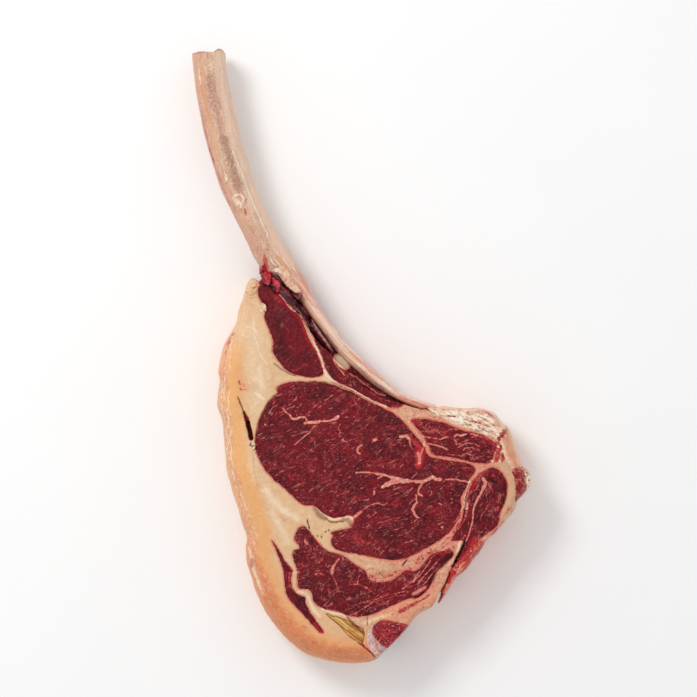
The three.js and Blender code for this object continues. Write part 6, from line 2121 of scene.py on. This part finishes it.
def cartilage():
    finish = Finish("cartilage")
    clouds = finish.noise(3, 3, shift=3, bend=0.6)
    crumbs = finish.noise(1.0, 2, 0.65, shift=19)
    rim, red, pale = (finish.painted(kind) for kind in ("rim", "red", "pale"))
    finish.colour = finish.mix(shade(176, 154, 156), shade(214, 198, 194), clouds.between(0.4, 0.58))
    near_rim = ((1 - rim.between(0.2, 2)) + (crumbs - 0.5)).between(0.3, 0.8)
    finish.coat(shade(226, 180, 150), near_rim * 0.7)
    inner = (finish.parts(finish.place)[0] - 4).between(0, 7)
    soaked = (clouds * 0.6 + crumbs * 0.4 + inner * 0.05).between(0.55, 0.6) * 0.6
    finish.coat(shade(226, 190, 162), inner * clouds.between(0.42, 0.56) * 0.7)
    finish.coat(shade(190, 84, 88), soaked)
    finish.coat(shade(176, 62, 58), red.between(0.2, 0.8) * 0.8)
    finish.coat(shade(240, 226, 220), pale.between(0.2, 0.8) * 0.7)
    finish.relief(clouds * 0.6 + crumbs * 0.4, 0.6)
    return finish.surface(0.32 + (clouds - 0.5) * 0.2, Specular_IOR_Level=0.4)


FINISHES["button_bone"] = button()
FINISHES["cartilage"] = cartilage()

# %% [markdown]
# ## The backbone end
#
# The saw went through the backbone, so its end is a lump of pale bone with dark cracks,
# a tan flank, and a porous red knob at the far right. The strokes say where each begins,
# and noise frays it.

# %% The backbone end
def backbone():
    finish = Finish("backbone")
    pale, red, dark, aged = (finish.painted(kind) for kind in ("pale", "red", "dark", "warm"))
    walls, mottle = sponge(finish, 1.4)
    clouds = finish.noise(6, 4, shift=9, bend=0.6)
    wisps = finish.noise(2.2, 3, 0.65, at=finish.laid(-24, 1.8, 0.9), shift=37, bend=0.8)
    crumbs = finish.noise(0.9, 2, 0.65, shift=83, bend=0.4)
    grains = finish.noise(0.5, 1, 0.6, shift=7)
    torn = (crumbs - 0.5) * 1.6 + (wisps - 0.5) * 1.4
    finish.colour = finish.mix(shade(222, 162, 134), shade(242, 202, 176), clouds.between(0.38, 0.54))
    finish.coat(shade(206, 98, 84), wisps.between(0.57, 0.66) * 0.5)
    finish.coat(shade(240, 200, 172), (1 - wisps).between(0.54, 0.62) * 0.5)
    finish.coat(shade(196, 126, 100), grains.between(0.56, 0.64) * 0.4)
    flank = (aged + torn * 0.2).between(0.2, 0.7)
    tan = finish.mix(shade(226, 148, 114), shade(240, 176, 142), clouds.between(0.4, 0.6))
    finish.coat(tan, flank)
    bright_edge = (1 - finish.painted("edge").between(0.5, 2.6)) * aged.between(0, 0.5)
    finish.coat(shade(234, 190, 148), bright_edge * 0.8)
    thready = finish.noise(0.9, 2, 0.65, at=finish.laid(-24, 3.2, 0.9), shift=55, bend=0.4)
    white = (pale + torn * 0.35 + (thready - 0.5) * 1.4).between(0.3, 0.6) * pale.between(0.02, 0.2)
    chalky = (thready * 0.6 + crumbs * 0.4).between(0.44, 0.54)
    chalk = finish.mix(shade(222, 184, 152), shade(250, 234, 214), chalky)
    finish.coat(chalk, white)
    cracks = (1 - thready).between(0.56, 0.62) * pale.between(0.2, 0.6)
    finish.coat(shade(176, 96, 76), cracks * 0.6)
    soaked = (red + torn * 0.7).between(0.35, 0.6) * red.between(0.02, 0.2)
    blood = finish.mix(shade(140, 22, 28), shade(214, 104, 88), walls * mottle.between(0.42, 0.56))
    finish.coat(blood, soaked)
    split = (dark + torn * 0.5).between(0.45, 0.7) * dark.between(0.02, 0.2)
    finish.coat(shade(104, 38, 34), split * 0.85)
    finish.relief(wisps * 0.4 + thready * 0.3 + crumbs * 0.3, 1.2)
    return finish.surface(0.5 + (wisps - 0.5) * 0.3, Specular_IOR_Level=0.3)


FINISHES["chine_bone"] = backbone()

# %% [markdown]
# ## The scraped rib
#
# The bare bone was scraped with a knife: its right side is smooth and pinkish, a worn
# grey-brown band with short pits runs down its middle, and the left edge keeps a strip
# of orange-brown membrane. The right side is painted lighter and the left darker, partly
# the bone's own tone and partly painted light on its two planes either side of the crest,
# and a pale line along the crest is a painted highlight. All of it is drawn out along the
# bone, so the noise is read in the unbent coordinates. Where it lies in the meat it is
# pale and shiny, with long red streaks, and its sides below the face are painted in
# shade, darkest on the side of the recess. The sawn end shows a dense pale ring and
# spongy marrow within.

# %% The scraped rib
BARE_FROM, BARE_TO = 148, 172     # along the rib, mm: where the bare part ends in the meat


def scraped():
    finish = Finish("scraped bone")
    grain = finish.node("ShaderNodeAttribute", {"attribute_name": "grain"}, output="Vector")
    along, across, height = finish.parts(grain)
    stretched = {"vector_type": "TEXTURE"}
    drawn = finish.node("ShaderNodeMapping", stretched, {"Vector": grain, "Scale": (9, 1, 1)})
    short = finish.node("ShaderNodeMapping", stretched, {"Vector": grain, "Scale": (2.6, 1, 1)})
    hairs = finish.noise(0.6, 2, 0.6, at=drawn, shift=71)
    streaks = finish.noise(1.1, 3, 0.6, at=drawn)
    broad = finish.noise(3.6, 3, at=drawn, shift=15)
    dashes = finish.noise(0.8, 2, at=short, shift=33)
    clouds = finish.noise(7, 4, shift=57, bend=0.5)
    crumbs = finish.noise(1.2, 2, 0.65, shift=27, bend=0.4)
    grains = finish.noise(0.5, 1, 0.6, shift=21)
    pale, red, dark, aged = (finish.painted(kind) for kind in ("pale", "red", "dark", "warm"))
    buried = along.between(BARE_FROM, BARE_TO)
    sawn = finish.painted("sawn")
    frayed = (streaks - 0.5) * 1.6 + (crumbs - 0.5) * 1.0 + (grains - 0.5) * 0.6

    finish.colour = finish.mix(shade(194, 148, 124), shade(216, 178, 148), clouds.between(0.36, 0.6))
    finish.coat(shade(214, 184, 148), broad.between(0.5, 0.62) * 0.5 * (1 - buried))
    finish.coat(shade(216, 150, 136), (1 - broad).between(0.52, 0.64) * 0.5)
    finish.coat(shade(238, 210, 188), streaks.between(0.53, 0.64) * (buried * 0.25 + 0.4))
    finish.coat(shade(180, 128, 108), (1 - streaks).between(0.54, 0.62) * (buried * 0.2 + 0.35))
    finish.coat(shade(166, 100, 88), (1 - hairs).between(0.55, 0.62) * (buried * 0.45 + 0.2))
    finish.coat(shade(248, 226, 208), hairs.between(0.56, 0.63) * (buried * 0.45 + 0.2))
    finish.coat(shade(190, 128, 112), grains.between(0.54, 0.64) * 0.4)
    finish.coat(shade(242, 218, 202), (1 - grains).between(0.54, 0.64) * 0.35)
    lighter = (broad + frayed * 0.3).between(0.4, 0.6)
    pinkish = finish.mix(shade(228, 152, 130), shade(250, 216, 194), lighter)
    finish.coat(pinkish, buried * 0.75)
    # lighter towards the right of the bare rib and darker towards the left: partly the bone's own tone,
    # partly painted light on its two planes either side of the crest
    right_edge = across.between(1, 7) * (1 - buried)
    finish.coat(shade(244, 212, 188), right_edge * 0.6)
    left_edge = (0 - across).between(1, 8) * (1 - buried)
    finish.coat(shade(206, 146, 120), left_edge * 0.38)
    old = (aged + frayed * 0.6).between(0.2, 0.8)
    finish.coat(shade(222, 158, 112), old * 0.7)
    # the dark strokes: wear along the middle band, and painted shade along the side beside the recess
    worn_and_shaded = (dark + frayed * 0.5).between(0.25, 0.8) * dark.between(0.02, 0.25)
    finish.coat(shade(164, 122, 102), worn_and_shaded * 0.85)
    pits = (dashes + (crumbs - 0.5) * 0.4).between(0.6, 0.68) * dark.between(0.1, 0.5)
    finish.coat(shade(132, 84, 70), pits * 0.4)
    soaked = (red + frayed * 0.6).between(0.35, 0.75) * red.between(0.02, 0.25)
    finish.coat(shade(182, 60, 50), soaked * 0.8)
    # the pale strokes: white streaks and curls, and a painted highlight along the crest
    bright = (pale + frayed * 0.5).between(0.4, 0.75) * pale.between(0.02, 0.2)
    finish.coat(shade(246, 226, 200), bright * 0.8)
    underside = 1 - height.between(6, 16)
    finish.coat(shade(196, 140, 112), underside * clouds.between(0.4, 0.6) * 0.6)
    # painted shade on the right wall of the rib in the meat, below its top
    wall = buried * across.between(3.4, 5.4) * (1 - height.between(35, 39))
    finish.coat(shade(206, 124, 106), wall * (0.5 + frayed * 0.5))
    # painted shade on the left side of the rib in the meat, where it drops into the recess
    shaded_inner_side = buried * (0 - across).between(4, 6.4) * (1 - height.between(34, 38))
    finish.coat(shade(112, 34, 34), shaded_inner_side * (0.7 + frayed * 0.5))
    walls, mottle = sponge(finish, 1.3)
    marrow = finish.mix(shade(122, 42, 36), shade(206, 150, 120), walls * mottle.between(0.3, 0.6))
    finish.coat(marrow, sawn * 0.8)

    finish.relief(streaks * 0.45 + dashes * 0.15 + crumbs * 0.2 + pale * 0.7, 0.8)
    rough = 0.5 + (streaks - 0.5) * 0.3 - buried * 0.14
    return finish.surface(rough, Specular_IOR_Level=0.28)


FINISHES["rib"] = scraped()

# %% [markdown]
# ## The scraps' finishes
#
# A shred of fresh meat is wet and glistens, tissue left on the bone is peach and pink,
# and a strand that has dried is dark with a paler edge. The same dark finish is also
# painted shade on the strips in the recess and beside the lobe. One recipe makes them all
# from three colours, because all of them are mottled at the same fine scale.

# %% The scraps' finishes
def mottled(name, deep, body, light, rough, gloss, depth=0.8):
    """Soft tissue in three tones as they are read off a screen, with bumps depth mm high."""
    finish = Finish(name)
    deep, body, light = (shade(*tone) for tone in (deep, body, light))
    crumbs = finish.noise(1.1, 3, 0.65, shift=5, bend=0.6)
    wisps = finish.noise(2.4, 3, 0.6, shift=43, bend=0.8)
    grains = finish.noise(0.5, 1, 0.6, shift=15)
    finish.colour = finish.mix(deep, body, (wisps * 0.6 + crumbs * 0.4).between(0.4, 0.54))
    finish.coat(light, crumbs.between(0.52, 0.64) * 0.7)
    finish.coat(deep, grains.between(0.56, 0.68) * 0.6)
    finish.relief(crumbs * 0.7 + grains * 0.3, depth)
    return finish.surface(rough + (crumbs - 0.5) * 0.4, Specular_IOR_Level=gloss)


FRESH = mottled("fresh shreds", (122, 10, 26), (190, 30, 48), (224, 104, 104), 0.32, 0.35)
# dried strands, and painted shade on the strips in the recess and beside the lobe
DRIED_AND_SHADED = mottled("dried strands and shaded meat", (50, 12, 20), (98, 30, 40), (156, 84, 84), 0.4, 0.3)
LOBE = mottled("peach tissue", (204, 138, 112), (230, 188, 158), (246, 216, 190), 0.42, 0.3, 0.5)
KNOB = mottled("purple knob", (96, 34, 38), (146, 74, 70), (198, 134, 120), 0.34, 0.4, 0.4)
CREASE = mottled("creased fat", (204, 152, 112), (226, 188, 146), (240, 212, 174), 0.45, 0.3)
SHEET = mottled("pale sheet", (214, 166, 140), (238, 208, 182), (250, 232, 212), 0.4, 0.3)
LILAC = mottled("drawn sinew", (130, 70, 68), (186, 124, 112), (224, 176, 154), 0.36, 0.35, 0.4)
CLOT = mottled("clotted meat", (66, 12, 22), (98, 22, 36), (138, 56, 62), 0.3, 0.4, 0.5)
SCRAP_FINISHES = {
    "shred_top": FRESH, "shred_side": FRESH, "shred_mid": FRESH, "shred_low": FRESH,
    "lobe": LOBE, "knob": KNOB, "clot": CLOT, "clot_low": CLOT,
    "strand_two": LILAC, "strand_four": LILAC, "sheet_pale": SHEET, "curl_torn": SHEET,
    "curl_small": SHEET, "crumb_one": SHEET, "crumb_two": SHEET,
    "tip_fold": CREASE, "tip_fold_top": CREASE,
}

# %% [markdown]
# ## The table's finish
#
# The table only has to be clean and pale, with the faint unevenness of a painted board.

# %% The table's finish
def painted_board():
    finish = Finish("table paint")
    clouds = finish.noise(60, 3)
    finish.colour = finish.mix(shade(251, 251, 251), shade(255, 255, 255), clouds)
    return finish.surface(0.75, Specular_IOR_Level=0.2)


table.data.materials.append(painted_board())

# %% [markdown]
# ## Putting the steak together
#
# Each part of the face replaces the plain solid of the same name. All ride on the one
# body, because a steak has no joints.


def dress(piece, name, solid, finish):
    """Gives a piece its name and finish, smooth shading and the root body, and hides the solid it stands
    for.
    """
    piece.name = name
    piece.data.name = name
    piece.data.materials.clear()
    piece.data.materials.append(finish)
    piece.data.polygons.foreach_set("use_smooth", [True] * len(piece.data.polygons))
    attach(piece, "root")
    if solid:
        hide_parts(solid)


for name, piece in pieces.items():
    dress(piece, name + "_look", name, FINISHES[name])
dress(rib, "rib_look", "rib_bone", FINISHES["rib"])
for name, piece in scraps.items():
    dress(piece, name, None, SCRAP_FINISHES.get(name, DRIED_AND_SHADED))
print("dressed:", len(pieces) + 1, "pieces for the solids and", len(scraps), "scraps")

# %% [markdown]
# ## Size
#
# The dressed steak must keep to the box of the solids, so both boxes are measured and printed.

# %% Size
seen_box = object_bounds()
sizes = {
    "cad": [round(float(v), 6) for corner in cad_box for v in corner],
    "visual": [round(float(v), 6) for corner in seen_box for v in corner],
}
for label, numbers in sizes.items():
    print(label, "box, mm:", [round(v / MM, 1) for v in numbers])
